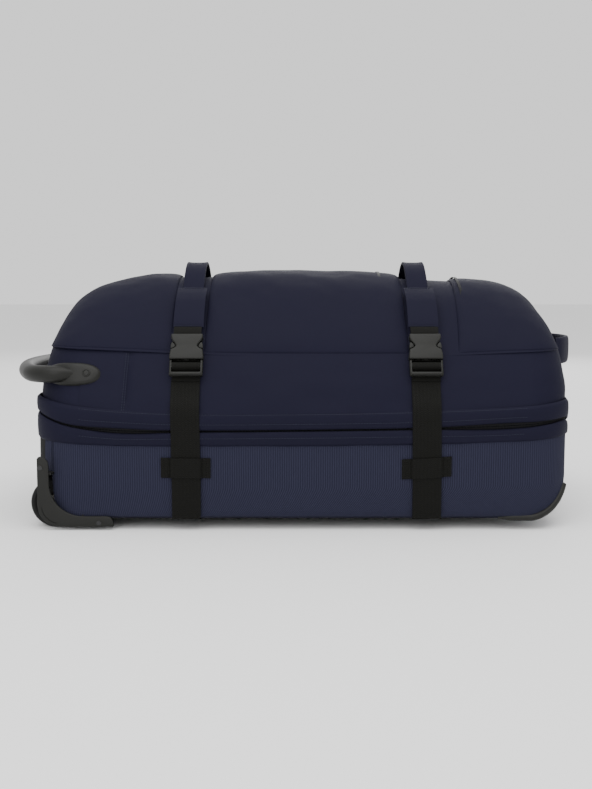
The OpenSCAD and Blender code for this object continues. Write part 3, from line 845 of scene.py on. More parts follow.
lower_flap = sheet("lower_storm_flap", 424, 14, lower_flap_place, 0.0014)
upper_flap = sheet("upper_storm_flap", 424, 14, upper_flap_place, 0.0014)
fit(lower_flap, smooth_navy, "base", "navy_fabric", "lower_zip_flap")
fit(upper_flap, smooth_navy, "lid", "navy_fabric", "upper_zip_flap")
print("flap gap, widest:", round(2000 * max(zip_gap(x / 100, -0.19) for x in range(-35, 38)), 1), "mm")

# %% [markdown]
# The zip is a nylon coil on a woven tape. The coil's turns are about four millimetres apart; here
# every second column of the strip stands out, which gives real ridges under the flaps.

# %% The main zip
ZIP_TURNS = 528


def zip_strip(name, side):
    """One half of the zip: side is -1 for the tub's half and 1 for the lid's."""
    def place(u, v):
        s = LAP * u
        spot, out = around(s, BODY)
        z = zip_middle(spot.x, spot.y) + side * (0.0003 + 0.0095 * (1 - v))
        ridge = 0.0011 if round(u * 2 * ZIP_TURNS) % 2 and v > 0.7 else 0.0
        return spot + out * (-0.0029 + ridge) + Vector((0, 0, z))
    return sheet(name, 2 * ZIP_TURNS, 5, place, 0.0009)


fit(zip_strip("zip_tape_lower", -1), coil_nylon, "base", "zip_coil", "zip_coil_lower")
fit(zip_strip("zip_tape_upper", 1), coil_nylon, "lid", "zip_coil", "zip_coil_upper")

# %% [markdown]
# ## The lid's side wall
# From the flap the lid leans in to its seam with the domed front. The wall is soft: it swells a
# little between its seams and carries a few shallow folds. One upright seam joins two lengths of
# cloth near the wheel end.

# %% Gusset
SIDE_TOP = 0.231
FLAP_TOP = 0.158
JOIN_X = -0.225


def wall_outline(z):
    return mixed(BODY, TOP_EDGE, (z - FLAP_TOP) / (SIDE_TOP - FLAP_TOP))


def lid_point(s, z, proud=0.0):
    spot, out = around(s, wall_outline(z))
    return spot + out * proud + Vector((0, 0, z))


def gusset_height(s, v):
    spot, _ = around(s, BODY)
    low, high = upper_seam(spot.x, spot.y) - 0.002, crown_seam(spot.x, spot.y) + 0.001
    return low + (high - low) * v


def gusset_swell(s, v):
    spot, _ = around(s, BODY)
    swell = 0.0034 * math.sin(math.pi * v) ** 0.8
    folds = ripple(Vector((s * 0.55, v * 0.10, 3)), 0.035, 0.0022) * math.sin(math.pi * v)
    seam = 0.0030 * hill(spot.x, JOIN_X, 0.0035) if spot.y < 0 else 0.0
    return swell + folds - seam * math.sin(math.pi * v) ** 0.3


def gusset_place(u, v):
    s = LAP * u
    return lid_point(s, gusset_height(s, v), gusset_swell(s, v) - 0.0008)


gusset = sheet("gusset_cloth", 520, 24, gusset_place, 0.0020)
fit(gusset, smooth_navy, "lid", "navy_fabric", "lid_sides", "lid_ends")
print("gusset:", [round(x, 3) for x in gusset.dimensions])

# %% [markdown]
# ## The domed front
# The front is one cut of cloth over a soft dome, fullest at its ends. Three flat pockets are sewn
# on it, each a little puffed, and between them two channels are left for the straps.

# %% The dome
CROWN_X = (SEAM_LEFT + SEAM_RIGHT) / 2
CROWN_L = (SEAM_RIGHT - SEAM_LEFT) / 2
CROWN_LIFT = CROWN - 0.0015


def crown_half(x):
    """Half width of the front at a place along the bag."""
    beyond = max(SEAM_LEFT + SEAM_R - x, x - SEAM_RIGHT + SEAM_R, 0.0)
    return SEAM_HALF - SEAM_R + math.sqrt(max(0.0, SEAM_R ** 2 - beyond ** 2))


TRIM = [(-0.340, 0.88), (-0.300, 0.88), (-0.259, 0.895), (-0.192, 0.945), (-0.125, 0.965), (0.0, 1.0),
        (0.128, 0.978), (0.217, 0.935), (0.292, 0.94), (0.364, 0.97)]


def crown_fullness(x):
    """How much of the dome's full height the front reaches at a place along the bag."""
    t = min(1.0, abs(x - CROWN_X) / CROWN_L)
    round_end = (1 - t ** 8) ** 0.55 if x < CROWN_X else (1 - t ** 7) ** 0.62
    return round_end * through(TRIM, x)


def crown_point(x, share, lift=0.0):
    """A point of the front: share is -1 at the near seam and 1 at the far seam."""
    half = crown_half(x)
    y = half * share
    z = crown_seam(x, y) + (CROWN_LIFT + lift) * crown_fullness(x) * (1 - share * share)
    return Vector((x, y, z))


def crown_place(u, v):
    x = CROWN_X + CROWN_L * math.sin(math.pi * (u - 0.5))
    share = math.sin(math.pi * (v - 0.5))
    spot = crown_point(x, share)
    inside = (1 - share * share) * crown_fullness(x)
    return spot + Vector((0, 0, ripple(spot, 0.05, 0.0016) * inside))


crown = sheet("front_cloth", 150, 84, crown_place, 0.0020, heart=Vector((0.01, 0, 0.18)))
fit(crown, smooth_navy, "lid", "navy_fabric", "front_panel")
print("front:", [round(x, 3) for x in crown.dimensions])

# %% [markdown]
# ## Pockets
# A pocket is a second layer of cloth on the front. Its edge is turned under and sewn, so it rises
# steeply at the border and lies flat in the middle. The profile is a superellipse, which does
# exactly that. The pocket at the top end has a slanting inner edge.

# %% Three pockets
POCKET_BASE = 0.0012


def border_rise(t):
    """Height over a pocket's border: t is -1 and 1 at the borders."""
    return math.sqrt(max(0.0, 1 - abs(t) ** 7))


def pocket_sheet(name, near_edges, top_edges, lift, seed, columns, reach=0.985):
    """A pocket between two borders, each given by its x at the seam and at the crown."""
    def place(u, v):
        share = reach * math.sin(math.pi * (v - 0.5) * 0.98) / math.sin(math.pi * 0.49)
        rise = 1 - share * share
        left = near_edges[0] + (top_edges[0] - near_edges[0]) * rise
        right = near_edges[1] + (top_edges[1] - near_edges[1]) * rise
        t = math.sin(math.pi * (u - 0.5))
        x = (left + right) / 2 + (right - left) / 2 * t
        edge = border_rise(t) * border_rise(share / reach)
        spot = crown_point(x, share, POCKET_BASE)
        out = Vector(((x - CROWN_X) * 0.35, spot.y, 0.16)).normalized()
        puff = lift * edge + edge * ripple(spot + Vector((seed, 0, 0)), 0.060, 0.0020)
        puff += edge * ripple(spot + Vector((0, seed, 0)), 0.022, 0.0007)
        return spot + out * puff
    return sheet(name, columns, 96, place, 0.0016, heart=Vector((0.01, 0, 0.18)))


wheel_pocket = pocket_sheet("wheel_end_pocket_cloth", (-0.3385, -0.1685), (-0.3330, -0.1695), 0.0042, 1, 60)
middle_pocket = pocket_sheet("middle_pocket_cloth", (-0.1235, 0.1510), (-0.1225, 0.1500), 0.0078, 2, 84)
top_pocket = pocket_sheet("top_end_pocket_cloth", (0.2180, 0.3620), (0.2260, 0.3560), 0.0062, 3, 56)
fit(wheel_pocket, smooth_navy, "lid", "navy_fabric", "wheel_end_pocket")
fit(middle_pocket, smooth_navy, "lid", "navy_fabric", "middle_pocket")
fit(top_pocket, smooth_navy, "lid", "navy_fabric", "top_end_pocket")
print("pockets:", [round(p.dimensions.x, 3) for p in (wheel_pocket, middle_pocket, top_pocket)])

# %% [markdown]
# ## Straps
# Each strap runs from under the bag up its side. On the lid it ends in a buckle frame; from the
# buckle's sleeve a short piece goes on to a folded tab of navy cloth, and from there a padded
# strap arches over the channel to the other side, where it can be grabbed. A ribbon follows a
# path seen from the wheel end, and its normal is the path's turned by a right angle.

# %% Ribbons
STRAP_X = ((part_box("cross_strap_wheel")[0].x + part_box("cross_strap_wheel")[1].x) / 2,
           (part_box("cross_strap_top")[0].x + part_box("cross_strap_top")[1].x) / 2)
WEB_HALF = 0.019
WEB_T = 0.0018
LEAN = math.radians(28)


def ribbon(name, path, middle, half, wall, rows=60, columns=8, swell=0.0, waver=0.0):
    """A strap laid along (y, z) points, with its outer face on the path."""
    points = path_through([Vector((0, y, z)) for y, z in path], rows)

    def place(u, v):
        i = round(v * rows)
        a, b = points[max(i - 1, 0)], points[min(i + 1, rows)]
        run = (b - a).normalized()
        out = Vector((0, -run.z, run.y))
        t = 2 * u - 1
        round_edge = 1 - abs(t) ** 4
        drift = waver * math.sin(points[i].z * 23 + middle * 40)
        x = middle + half * t + drift
        return Vector((x, points[i].y, points[i].z)) + out * swell * round_edge * -1
    return sheet(name, columns, rows, place, wall)


def strap_y(z):
    """Distance of the webbing's outer face from the centre plane."""
    lean = math.tan(math.atan((HALF - SEAM_HALF) / (SIDE_TOP - FLAP_TOP)))
    return HALF + 0.0015 + 0.0005 + WEB_T + 0.0003 - max(0.0, z - FLAP_TOP - 0.004) * lean


def strap_path(low, high, steps=9):
    return [(-strap_y(low + (high - low) * i / steps), low + (high - low) * i / steps)
            for i in range(steps + 1)]


near_straps = [ribbon(f"strap_{i}", strap_path(0.0160, 0.2010, 16), x, WEB_HALF, WEB_T, 90, 8, waver=0.0006)
               for i, x in enumerate(STRAP_X)]
fit(join("compression_webbing", near_straps), webbing, "base", "black_webbing", "compression_straps")
print("straps at x =", [round(x, 3) for x in STRAP_X])

# %% Far straps, sewn across the hinge
def far_path(low, high, steps=10):
    return [(-y, z) for y, z in strap_path(low, high, steps)]


far_straps = join("hinge_side_webbing", [
    ribbon(f"far_strap_{i}", far_path(0.0160, 0.2255, 18), x, WEB_HALF, WEB_T, 100, 8)
    for i, x in enumerate(STRAP_X)])
dress(far_straps, webbing)
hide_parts("far_straps_lower", "far_straps_upper")
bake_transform(far_straps)

# %% [markdown]
# Keepers are short pieces of webbing sewn across each strap, so that it cannot slip sideways. Each
# end is held by a box of stitches.

# %% Keepers
KEEPER_HALF = 0.0328
KEEPER_LOW, KEEPER_HIGH = 0.0705, 0.0970


def keeper(name, middle, tilt):
    def place(u, v):
        x = middle + KEEPER_HALF * (2 * u - 1)
        over = 1 - ease(WEB_HALF, WEB_HALF + 0.0045, abs(x - middle))
        y = -HALF - 0.0024 - 0.0032 * over
        return Vector((x, y, KEEPER_LOW + (KEEPER_HIGH - KEEPER_LOW) * v + tilt * (2 * u - 1)))
    return sheet(name, 66, 8, place, 0.0016)


KEEPER_TILT = (-0.0003, 0.0020)
near_keepers = join("keepers_near", [keeper(f"keeper_{i}", x, KEEPER_TILT[i]) for i, x in enumerate(STRAP_X)])
far_keepers = across_copy(near_keepers, "keepers_far")
keepers = join("strap_keeper_loops", [near_keepers, far_keepers])
fit(keepers, webbing, "base", "black_webbing", "strap_keepers")

# %% [markdown]
# ## Arched straps and tabs
# The padded strap is a folded length of navy cloth over foam, thicker in its middle than at its
# hems. It stands free of the channel, so a hand can go under it.

# %% Cross straps and tabs
ARCH_END = 0.074
ARCH_RISE = 0.0165
ARCH_HALF = 0.0145


def channel_z(y):
    return crown_point(0.0, y / SEAM_HALF).z


def arch_strap(name, middle, solid):
    path = [(y / 1000, channel_z(y / 1000) + 0.0046 + ARCH_RISE * math.cos(math.pi / 2 * y / 1000 / ARCH_END))
            for y in range(74, -75, -4)]
    strap = ribbon(name, path, middle, ARCH_HALF, 0.0040, 84, 10, swell=-0.0012)
    finish_with(strap, "BEVEL", width=0.0012, segments=2, angle_limit=math.radians(50))
    fit(smooth(strap), smooth_navy, "lid", "navy_fabric", solid)
    return strap


arch_strap("cross_strap_wheel_padded", STRAP_X[0], "cross_strap_wheel")
arch_strap("cross_strap_top_padded", STRAP_X[1], "cross_strap_top")

TAB_HALF = 0.0205
TAB_PATH = [(-0.1455, 0.2672), (-0.1420, 0.2740), (-0.1325, 0.2862), (-0.1180, 0.3010), (-0.1020, 0.3110),
            (-0.0900, 0.3165), (-0.0800, 0.3200)]


def tab(name, middle):
    return ribbon(name, TAB_PATH, middle, TAB_HALF, 0.0026, 40, 12, swell=-0.0007)


near_tabs = join("tabs_near", [tab(f"tab_{i}", x) for i, x in enumerate(STRAP_X)])
far_tabs = across_copy(near_tabs, "tabs_far")
tabs = join("anchor_tabs_folded", [near_tabs, far_tabs])
fit(tabs, smooth_navy, "lid", "navy_fabric", "anchor_tabs")
print("arches rise", round(ARCH_RISE * 1000, 1), "mm over the channels")

# %% [markdown]
# ## Side-release buckles
# A buckle is two mouldings. The sleeve hangs from the tab and has a mouth below and a window at
# each side; the tongue has a guide and two springy prongs, whose pads show in the windows. Each
# part is made upright with the mouth at the origin, and is then leaned onto the lid's side wall.

# %% Buckle helpers
MOUTH = [Matrix.Translation((x, -0.1705, 0.222)) @ Matrix.Rotation(-LEAN, 4, "X") for x in STRAP_X]


def lean_onto_wall(piece, which):
    """Carry an upright buckle part to its place on the wall."""
    piece.matrix_world = MOUTH[which]
    return settle(piece)


def sleeve(name, which, solid):
    """The buckle's sleeve: a shell notched at each side for the thumbs, hollow from its mouth."""
    half = [(0.0228, -0.0002), (0.0226, 0.0050), (0.0219, 0.0105), (0.0212, 0.0142), (0.0172, 0.0158),
            (0.0146, 0.0176), (0.0143, 0.0194), (0.0152, 0.0214), (0.0172, 0.0240), (0.0198, 0.0275),
            (0.0212, 0.0310), (0.0211, 0.0364)]
    outline = half + [(-x, z) for x, z in reversed(half)]
    shell = plate(name, [Vector((x, -0.0005, z)) for x, z in outline], Vector((0, -0.0115, 0)), 0.0022, 4)
    cut(shell, block("mouth_cutter", (-0.0192, -0.0098, -0.004), (0.0192, -0.0022, 0.0262), 0.001))
    finish_with(shell, "BEVEL", width=0.0005, segments=2, angle_limit=math.radians(50))
    smooth(shell, 35)
    lean_onto_wall(shell, which)
    return fit(shell, buckle_plastic, "lid", "black_plastic", solid)


sleeve("buckle_sleeve_wheel", 0, "buckle_socket_wheel")
sleeve("buckle_sleeve_top", 1, "buckle_socket_top")
print("sleeve leans", round(math.degrees(LEAN)), "degrees")

# %% Tongues: frame and guide
def tongue(name, which, solid):
    frame_body = block(name, (-0.0222, -0.0095, -0.0232), (0.0222, -0.0025, -0.0006), 0.0018, 3)
    cut(frame_body, block("slot_cutter", (-0.0194, -0.03, -0.0182), (0.0194, 0.01, -0.0108), 0.0010))
    cut(frame_body, block("slot_cutter", (-0.0194, -0.03, -0.0062), (0.0194, 0.01, -0.0016), 0.0008))
    guide = block("guide", (-0.0035, -0.0079, -0.0020), (0.0035, -0.0041, 0.0220), 0.0009)
    lip = round_bar("lip", (-0.0205, -0.0088, -0.0205), (0.0205, -0.0088, -0.0205), 0.0022, 20, 0.0010)
    piece = join(name, [frame_body, guide, lip])
    lean_onto_wall(piece, which)
    return fit(piece, buckle_plastic, "base", "black_plastic", solid)


tongue("buckle_tongue_wheel", 0, "buckle_frame_wheel")
tongue("buckle_tongue_top", 1, "buckle_frame_top")


# %% Prongs
def springy_prong(name, which, side, body, solid):
    arm_x = sorted((side * 0.0090, side * 0.0128))
    arm = block("arm", (arm_x[0], -0.0079, 0.0004), (arm_x[1], -0.0041, 0.0200), 0.0010)
    rim = [(0.0190, 0.0246), (0.0172, 0.0228), (0.0158, 0.0206), (0.0153, 0.0190), (0.0162, 0.0172),
           (0.0212, 0.0152), (0.0216, 0.0176), (0.0212, 0.0212), (0.0203, 0.0240)]
    pad = plate("pad", [Vector((side * x, -0.0024, z)) for x, z in rim], Vector((0, -0.0080, 0)), 0.0013, 3)
    root = block("root", (min(side * 0.0100, side * 0.0185), -0.0079, 0.0165),
                 (max(side * 0.0100, side * 0.0185), -0.0041, 0.0195), 0.0008)
    piece = join(name, [arm, root, pad])
    lean_onto_wall(smooth(piece), which)
    return fit(piece, buckle_plastic, body, "black_plastic", solid)


springy_prong("prong_wheel_left_moulded", 0, -1, "prong_wl", "prong_wheel_left")
springy_prong("prong_wheel_right_moulded", 0, 1, "prong_wr", "prong_wheel_right")
springy_prong("prong_top_left_moulded", 1, -1, "prong_tl", "prong_top_left")
springy_prong("prong_top_right_moulded", 1, 1, "prong_tr", "prong_top_right")

# %% Webbing round the buckle's bars
def on_mouth(which, x, y, z):
    return MOUTH[which] @ Vector((x, y, z))


def socket_web(which):
    """Short webbing from behind the sleeve's top edge up to the tab."""
    def place(u, v):
        y = -0.0074 + 0.0022 * v - 0.0008 * math.sin(math.pi * v)
        return on_mouth(which, (2 * u - 1) * 0.0186, y, 0.0345 + 0.0150 * v)
    return sheet(f"socket_web_{which}", 8, 12, place, WEB_T)


TAIL = [(-0.0016, -0.0290), (-0.0018, -0.0225), (-0.0030, -0.0178), (-0.0072, -0.0148), (-0.0102, -0.0120),
        (-0.0112, -0.0086), (-0.0104, -0.0052), (-0.0068, -0.0030), (-0.0040, -0.0022)]


def tail_web(which):
    """The strap's end: behind the frame's lower bar, out and over its middle bar."""
    points = path_through([Vector((0, y, z)) for y, z in TAIL], 32)

    def place(u, v):
        spot = points[round(v * 32)]
        return on_mouth(which, (2 * u - 1) * 0.0188, spot.y, spot.z)
    return sheet(f"tail_web_{which}", 8, 32, place, 0.0012)


fit(join("sleeve_webbing", [socket_web(0), socket_web(1)]), webbing, "lid", "black_webbing", "socket_webbing")
fit(join("frame_webbing", [tail_web(0), tail_web(1)]), webbing, "base", "black_webbing")

# %% [markdown]
# ## Turned and swept pieces
# Round parts are made from their cross-section: a ring of points is spun about an axis, as on a
# lathe. Bars that bend are swept: a circle is carried along a path and its radius may change.

# %% Lathe and sweep
def turned(name, section, centre, steps=72):
    """Spin a closed section of (along, radius) points about an axis through centre, along Y."""
    let_go()
    bpy.ops.mesh.primitive_circle_add(vertices=len(section), fill_type="NOTHING")
    piece = named(name)
    for vertex, (along, radius) in zip(piece.data.vertices, section):
        vertex.co = Vector(centre) + Vector((radius, along, 0))

    def spin():
        bpy.ops.mesh.spin(steps=steps, angle=2 * math.pi, center=centre, axis=(0, 1, 0))
        bpy.ops.mesh.select_all(action="SELECT")
        bpy.ops.mesh.remove_doubles(threshold=0.00001)
        bpy.ops.mesh.normals_make_consistent(inside=False)

    return smooth(in_edit(piece, spin), 35)


def swept(name, path, size, sides=24, up=Vector((0, 0, 1)), power=2.0):
    """Carry an oval along a path: size(v) gives its half width and half height."""
    rows = len(path) - 1

    def place(u, v):
        i = round(v * rows)
        run = (path[min(i + 1, rows)] - path[max(i - 1, 0)]).normalized()
        across = run.cross(up).normalized()
        over = across.cross(run)
        turn = 2 * math.pi * u
        c, s = math.cos(turn), math.sin(turn)
        wide, high = size(v)
        c = math.copysign(abs(c) ** (2 / power), c)
        s = math.copysign(abs(s) ** (2 / power), s)
        return path[i] + across * wide * c + over * high * s

    piece = sheet(name, sides, rows, place)

    def close():
        bpy.ops.mesh.remove_doubles(threshold=0.000005)
        bpy.ops.mesh.select_all(action="DESELECT")
        bpy.ops.mesh.select_non_manifold()
        bpy.ops.mesh.edge_face_add()
        bpy.ops.mesh.select_all(action="SELECT")
        bpy.ops.mesh.normals_make_consistent(inside=False)

    return smooth(in_edit(piece, close))

# %% [markdown]
# ## Wheels in their housings
# Each wheel turns in a moulded housing. Its cheek is an L: an arm up the corner, a heel over the
# wheel, and a foot under the side. Behind it an arch keeps the wheel off the clothes.

# %% Wheel housings
CHEEK_Y = -HALF - 0.0003
CHEEK_T = 0.0031
HEEL_C = (WHEEL_X + 0.010, WHEEL_Z)
HEEL_RAD = 0.0285
FILLET_C = (-0.283, 0.063)
FILLET_R = 0.044


def arc(centre, radius, first, last, count):
    """Points of an arc in the X-Z plane, with angles in degrees."""
    return [(centre[0] + radius * math.cos(math.radians(first + (last - first) * i / count)),
             centre[1] + radius * math.sin(math.radians(first + (last - first) * i / count)))
            for i in range(count + 1)]


cheek_outline = ([(-0.3425, 0.0955), (-0.3405, 0.0985), (-0.3375, 0.0990), (-0.3310, 0.0960),
                  (-0.3280, 0.0925),
                  (-0.3270, 0.0860)]
                 + arc(FILLET_C, FILLET_R, 180, 270, 22)
                 + [(-0.2520, 0.0190), (-0.2470, 0.0180), (-0.2438, 0.0150), (-0.2420, 0.0095),
                    (-0.2425, 0.0050)]
                 + arc(HEEL_C, HEEL_RAD, 270, 180, 20))


def housing(name):
    face = plate(name + "_cheek", [Vector((x, CHEEK_Y, z)) for x, z in cheek_outline],
                 Vector((0, -CHEEK_T, 0)), 0.0011, 3)
    slit = arc(HEEL_C, 0.0236, 186, 262, 16) + arc(HEEL_C, 0.0228, 262, 186, 16)
    cut(face, plate("slit_cutter", [Vector((x, CHEEK_Y - CHEEK_T + 0.0012, z)) for x, z in slit],
                    Vector((0, -0.004, 0))))
    arch_out = arc((WHEEL_X, WHEEL_Z), WELL_R - 0.0002, -29, 110, 36)

    def arch_place(u, v):
        x, z = arch_out[round(u * 36)]
        behind_cheek = u < 0.16 or u > 0.84
        corner = max(0.0, LEFT + PLAN_R - x)
        edge = HALF if behind_cheek else HALF - 0.002 - PLAN_R + math.sqrt(PLAN_R ** 2 - corner ** 2)
        return Vector((x, -0.1475 + (0.1475 - edge) * v, z))
    arch = sheet("arch", 36, 10, arch_place, 0.0028, heart=Vector((-0.1, -0.17, 0.2)))
    inner = plate("inner_wall", [Vector((x, -0.1470, z)) for x, z in arch_out],
                  Vector((0, 0.0030, 0)), 0.0006)
    return join(name, [face, arch, inner])


near_housing = housing("wheel_housing_near_moulded")
far_housing = across_copy(near_housing, "wheel_housing_far_moulded")
fit(near_housing, black_plastic, "base", "black_plastic", "wheel_housings")
fit(far_housing, black_plastic, "base", "black_plastic")
print("housing:", [round(x, 3) for x in near_housing.dimensions])

# %% Tyres and hubs
TYRE_R = 0.033
TYRE_HALF = 0.015
tyre_section = [(-TYRE_HALF + 0.0010, 0.0252), (-TYRE_HALF, 0.0275), (-TYRE_HALF + 0.0008, 0.0305),
                (-0.0118, 0.0325), (-0.0095, 0.0330), (-0.0056, 0.0330), (-0.0050, 0.0322), (-0.0040, 0.0322),
                (-0.0034, 0.0330), (0.0034, 0.0330), (0.0040, 0.0322), (0.0050, 0.0322), (0.0056, 0.0330),
                (0.0095, 0.0330), (0.0118, 0.0325), (TYRE_HALF - 0.0008, 0.0305), (TYRE_HALF, 0.0275),
                (TYRE_HALF - 0.0010, 0.0252)]
hub_section = [(-0.0130, 0.0250), (-0.0130, 0.0222), (-0.0118, 0.0214), (-0.0082, 0.0208), (-0.0082, 0.0135),
               (-0.0125, 0.0128), (-0.0125, 0.0110), (0.0125, 0.0110), (0.0125, 0.0128), (0.0082, 0.0135),
               (0.0082, 0.0208), (0.0118, 0.0214), (0.0130, 0.0222), (0.0130, 0.0250)]
for side, place in ((-1, "near"), (1, "far")):
    middle = (WHEEL_X, side * 0.167, WHEEL_Z)
    fit(turned(f"tyre_{place}_rubber", tyre_section, middle), tyre_rubber,
        f"wheel_{place}", "tyre_rubber", f"tyre_{place}")
    fit(turned(f"hub_{place}_moulded", hub_section, middle), black_plastic,
        f"wheel_{place}", "black_plastic", f"hub_{place}")
print("tyres of", round(TYRE_R * 2000), "mm")

# %% [markdown]
# ## Heel guards, rails and trim
# A moulded bead guards each lower corner of the top end, and two rails keep the underside off the
# ground. Both are the parts that scrape, so they are round and separate.

# %% Guards and rails
GUARD_R = 0.0046


def guard_path():
    flat = [Vector((0.268 + 0.034 * i / 8, -0.1935, BELLY + 0.0012)) for i in range(8)]
    bend = []
    for i in range(41):
        z = BELLY + 0.0012 + (0.0945 - BELLY) * (i / 40) ** 1.6
        bend.append(tub_point(crease(z) + 0.0015, z, 0.0))
    return flat + bend


def guard_size(v):
    taper = ease(0.0, 0.10, v) * (1 - ease(0.86, 1.0, v))
    return GUARD_R * (0.45 + 0.55 * taper), GUARD_R * (0.45 + 0.55 * taper)


near_guard = swept("heel_guard_near", guard_path(), guard_size, 20)
far_guard = across_copy(near_guard, "heel_guard_far")
fit(join("heel_guards", [near_guard, far_guard]), black_plastic, "base", "black_plastic", "corner_guards")

rail_low, rail_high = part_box("skid_rails")
RAIL_Y = rail_high.y - 0.014


def rail(name, side):
    ends = arc((rail_low.x + 0.014, side * RAIL_Y), 0.014, 90, 270, 16) \
        + arc((rail_high.x - 0.014, side * RAIL_Y), 0.014, -90, 90, 16)
    body = plate(name, [Vector((x, y, 0.0)) for x, y in ends], Vector((0, 0, rail_high.z)), 0.0035, 4)
    for x in (-0.190, 0.025, 0.240):
        cut(body, round_bar("screw_hole", (x, side * RAIL_Y, -0.01), (x, side * RAIL_Y, 0.003), 0.005, 24))
    return body


rails = join("skid_rail_pair", [rail("rail_near", -1), rail("rail_far", 1)])
fit(rails, black_plastic, "base", "black_plastic", "skid_rails")

# %% [markdown]
# ## Handles
# The moulded handle bows round the wheel end. Its bar swells out of a plate at each side, and the
# plates are riveted through the lid's wall. The other end has a soft handle of padded cloth.

# %% The moulded handle
GRIP_Z = 0.206
GRIP_R = 0.0115
WALL_LEAN = math.atan((HALF - SEAM_HALF) / (SIDE_TOP - FLAP_TOP))
BAR_Y = HALF - (GRIP_Z - FLAP_TOP) * math.tan(WALL_LEAN) + 0.004
ARM_X = -0.318
BEND_R = 0.045
BEND_A = math.radians(66)
BOW_R = BEND_R + (BAR_Y - BEND_R) / math.cos(BEND_A)
BOW_CX = ARM_X - (BEND_R - BOW_R) * math.sin(BEND_A)


def bow_path():
    """Centre line from inside the near plate round to the middle of the bow."""
    nose = [Vector((-0.282 - 0.036 * i / 14, -BAR_Y + 0.0062 * (1 - i / 14) ** 1.5, GRIP_Z))
            for i in range(14)]
    bend = [Vector((ARM_X - BEND_R * math.sin(BEND_A * i / 20),
                    -BAR_Y + BEND_R - BEND_R * math.cos(BEND_A * i / 20), GRIP_Z)) for i in range(20)]
    rest = (math.pi / 2 - BEND_A)
    bow = [Vector((BOW_CX - BOW_R * math.sin(BEND_A + rest * i / 24),
                   -BOW_R * math.cos(BEND_A + rest * i / 24), GRIP_Z)) for i in range(25)]
    return nose + bend + bow


half_path = bow_path()
full_path = half_path + [Vector((p.x, -p.y, p.z)) for p in reversed(half_path[:-1])]


def bow_size(v):
    from_end = min(v, 1 - v) * (len(full_path) - 1)
    grow = ease(0, 16, from_end)
    radius = 0.0035 + (GRIP_R - 0.0035) * grow
    return radius, radius * (1 + 0.12 * math.sin(math.pi * grow))


bow = swept("handle_bow", full_path, bow_size, 32)


def wall_spot(x, up, out, side):
    """A place on the lid's leaning wall: up along it from the grip's height, and out from it."""
    y = HALF - (GRIP_Z - FLAP_TOP) * math.tan(WALL_LEAN)
    corner = max(0.0, LEFT + PLAN_R - 0.002 - x)
    y -= PLAN_R - 0.003 - math.sqrt((PLAN_R - 0.003) ** 2 - corner ** 2)
    y += -up * math.sin(WALL_LEAN) + out * math.cos(WALL_LEAN)
    return Vector((x, side * y, GRIP_Z + up * math.cos(WALL_LEAN) + out * math.sin(WALL_LEAN)))


def handle_plate(name, side):
    """A plate that hugs the wall round its corner and swells towards its middle."""
    def place(u, v):
        turn, grow = 2 * math.pi * u, v
        straight = 0.0225
        c, s = math.cos(turn), math.sin(turn)
        c, s = math.copysign(abs(c) ** 0.8, c), math.copysign(abs(s) ** 0.9, s)
        x = -0.2985 + (straight + 0.0165) * c * grow
        up = -0.001 + 0.0165 * s * grow
        out = 0.0012 + 0.0062 * math.sqrt(max(0.0, 1 - grow ** 5))
        return wall_spot(x, up, out, side)
    return sheet(name, 56, 14, place, 0.0, heart=Vector((-0.3, 0, 0.2)))


near_plate = handle_plate("plate_near", -1)
far_plate = across_copy(near_plate, "plate_far")
handle = join("moulded_handle_bow", [bow, near_plate, far_plate])
in_edit(handle, lambda: bpy.ops.mesh.remove_doubles(threshold=0.000005))
fit(smooth(handle, 50), black_plastic, "lid", "black_plastic", "moulded_handle")

# %% Rivets
RIVET_X = (-0.3065, -0.2785)


def rivet(name, x, side, radius, height, ring):
    """A flat-headed rivet on a plate, with a ring round it when it is sunk."""
    base = wall_spot(x, -0.001, 0.0068, side)
    out = (wall_spot(x, -0.001, 0.02, side) - base).normalized()
    head = round_bar(name, base - out * 0.004, base + out * height, radius, 28, 0.0006)
    if not ring:
        return head
    collar = round_bar("collar", base - out * 0.004, base + out * 0.0012, radius + 0.0016, 32, 0.0005)
    cut(collar, round_bar("collar_cutter", base, base + out * 0.01, radius + 0.0006, 32))
    return join(name, [head, collar])


fit(join("handle_rivets_front", [rivet("rivet_a", RIVET_X[0], -1, 0.0046, 0.0012, False),
                                 rivet("rivet_b", RIVET_X[0], 1, 0.0046, 0.0012, False)]),
    rivet_steel, "lid", "steel", "handle_rivets")
fit(join("handle_rivets_back", [rivet("rivet_c", RIVET_X[1], -1, 0.0038, 0.0009, True),
                                rivet("rivet_d", RIVET_X[1], 1, 0.0038, 0.0009, True)]),
    black_plastic, "lid", "black_plastic")

# %% The padded end handle
HANDLE_Z = 0.232
end_half = [Vector((x, y, HANDLE_Z)) for x, y in (
    (0.3640, -0.0945), (0.3730, -0.0850), (0.3830, -0.0680), (0.3915, -0.0480), (0.3975, -0.0260),
    (0.3995, 0.0))]
end_path = path_through(end_half + [Vector((p.x, -p.y, p.z)) for p in reversed(end_half[:-1])], 72)


def end_size(v):
    pad = ease(0.0, 0.16, v) * (1 - ease(0.84, 1.0, v))
    return 0.0016 + 0.0020 * pad, 0.0182 + 0.0008 * pad


end_handle = swept("end_handle_padded", end_path, end_size, 28, power=3.2)
fit(end_handle, smooth_navy, "lid", "navy_fabric", "top_end_handle")
print("handles:", [round(x, 3) for x in handle.dimensions], [round(x, 3) for x in end_handle.dimensions])

# %% [markdown]
# ## The trolley
# Three stages of tube slide in each other under the base, and a grip joins the innermost pair. The tubes are
# already the right shape and only need their brushed surface. The grip is remade with round edges, a cut for
# the release button and a row of grooves.

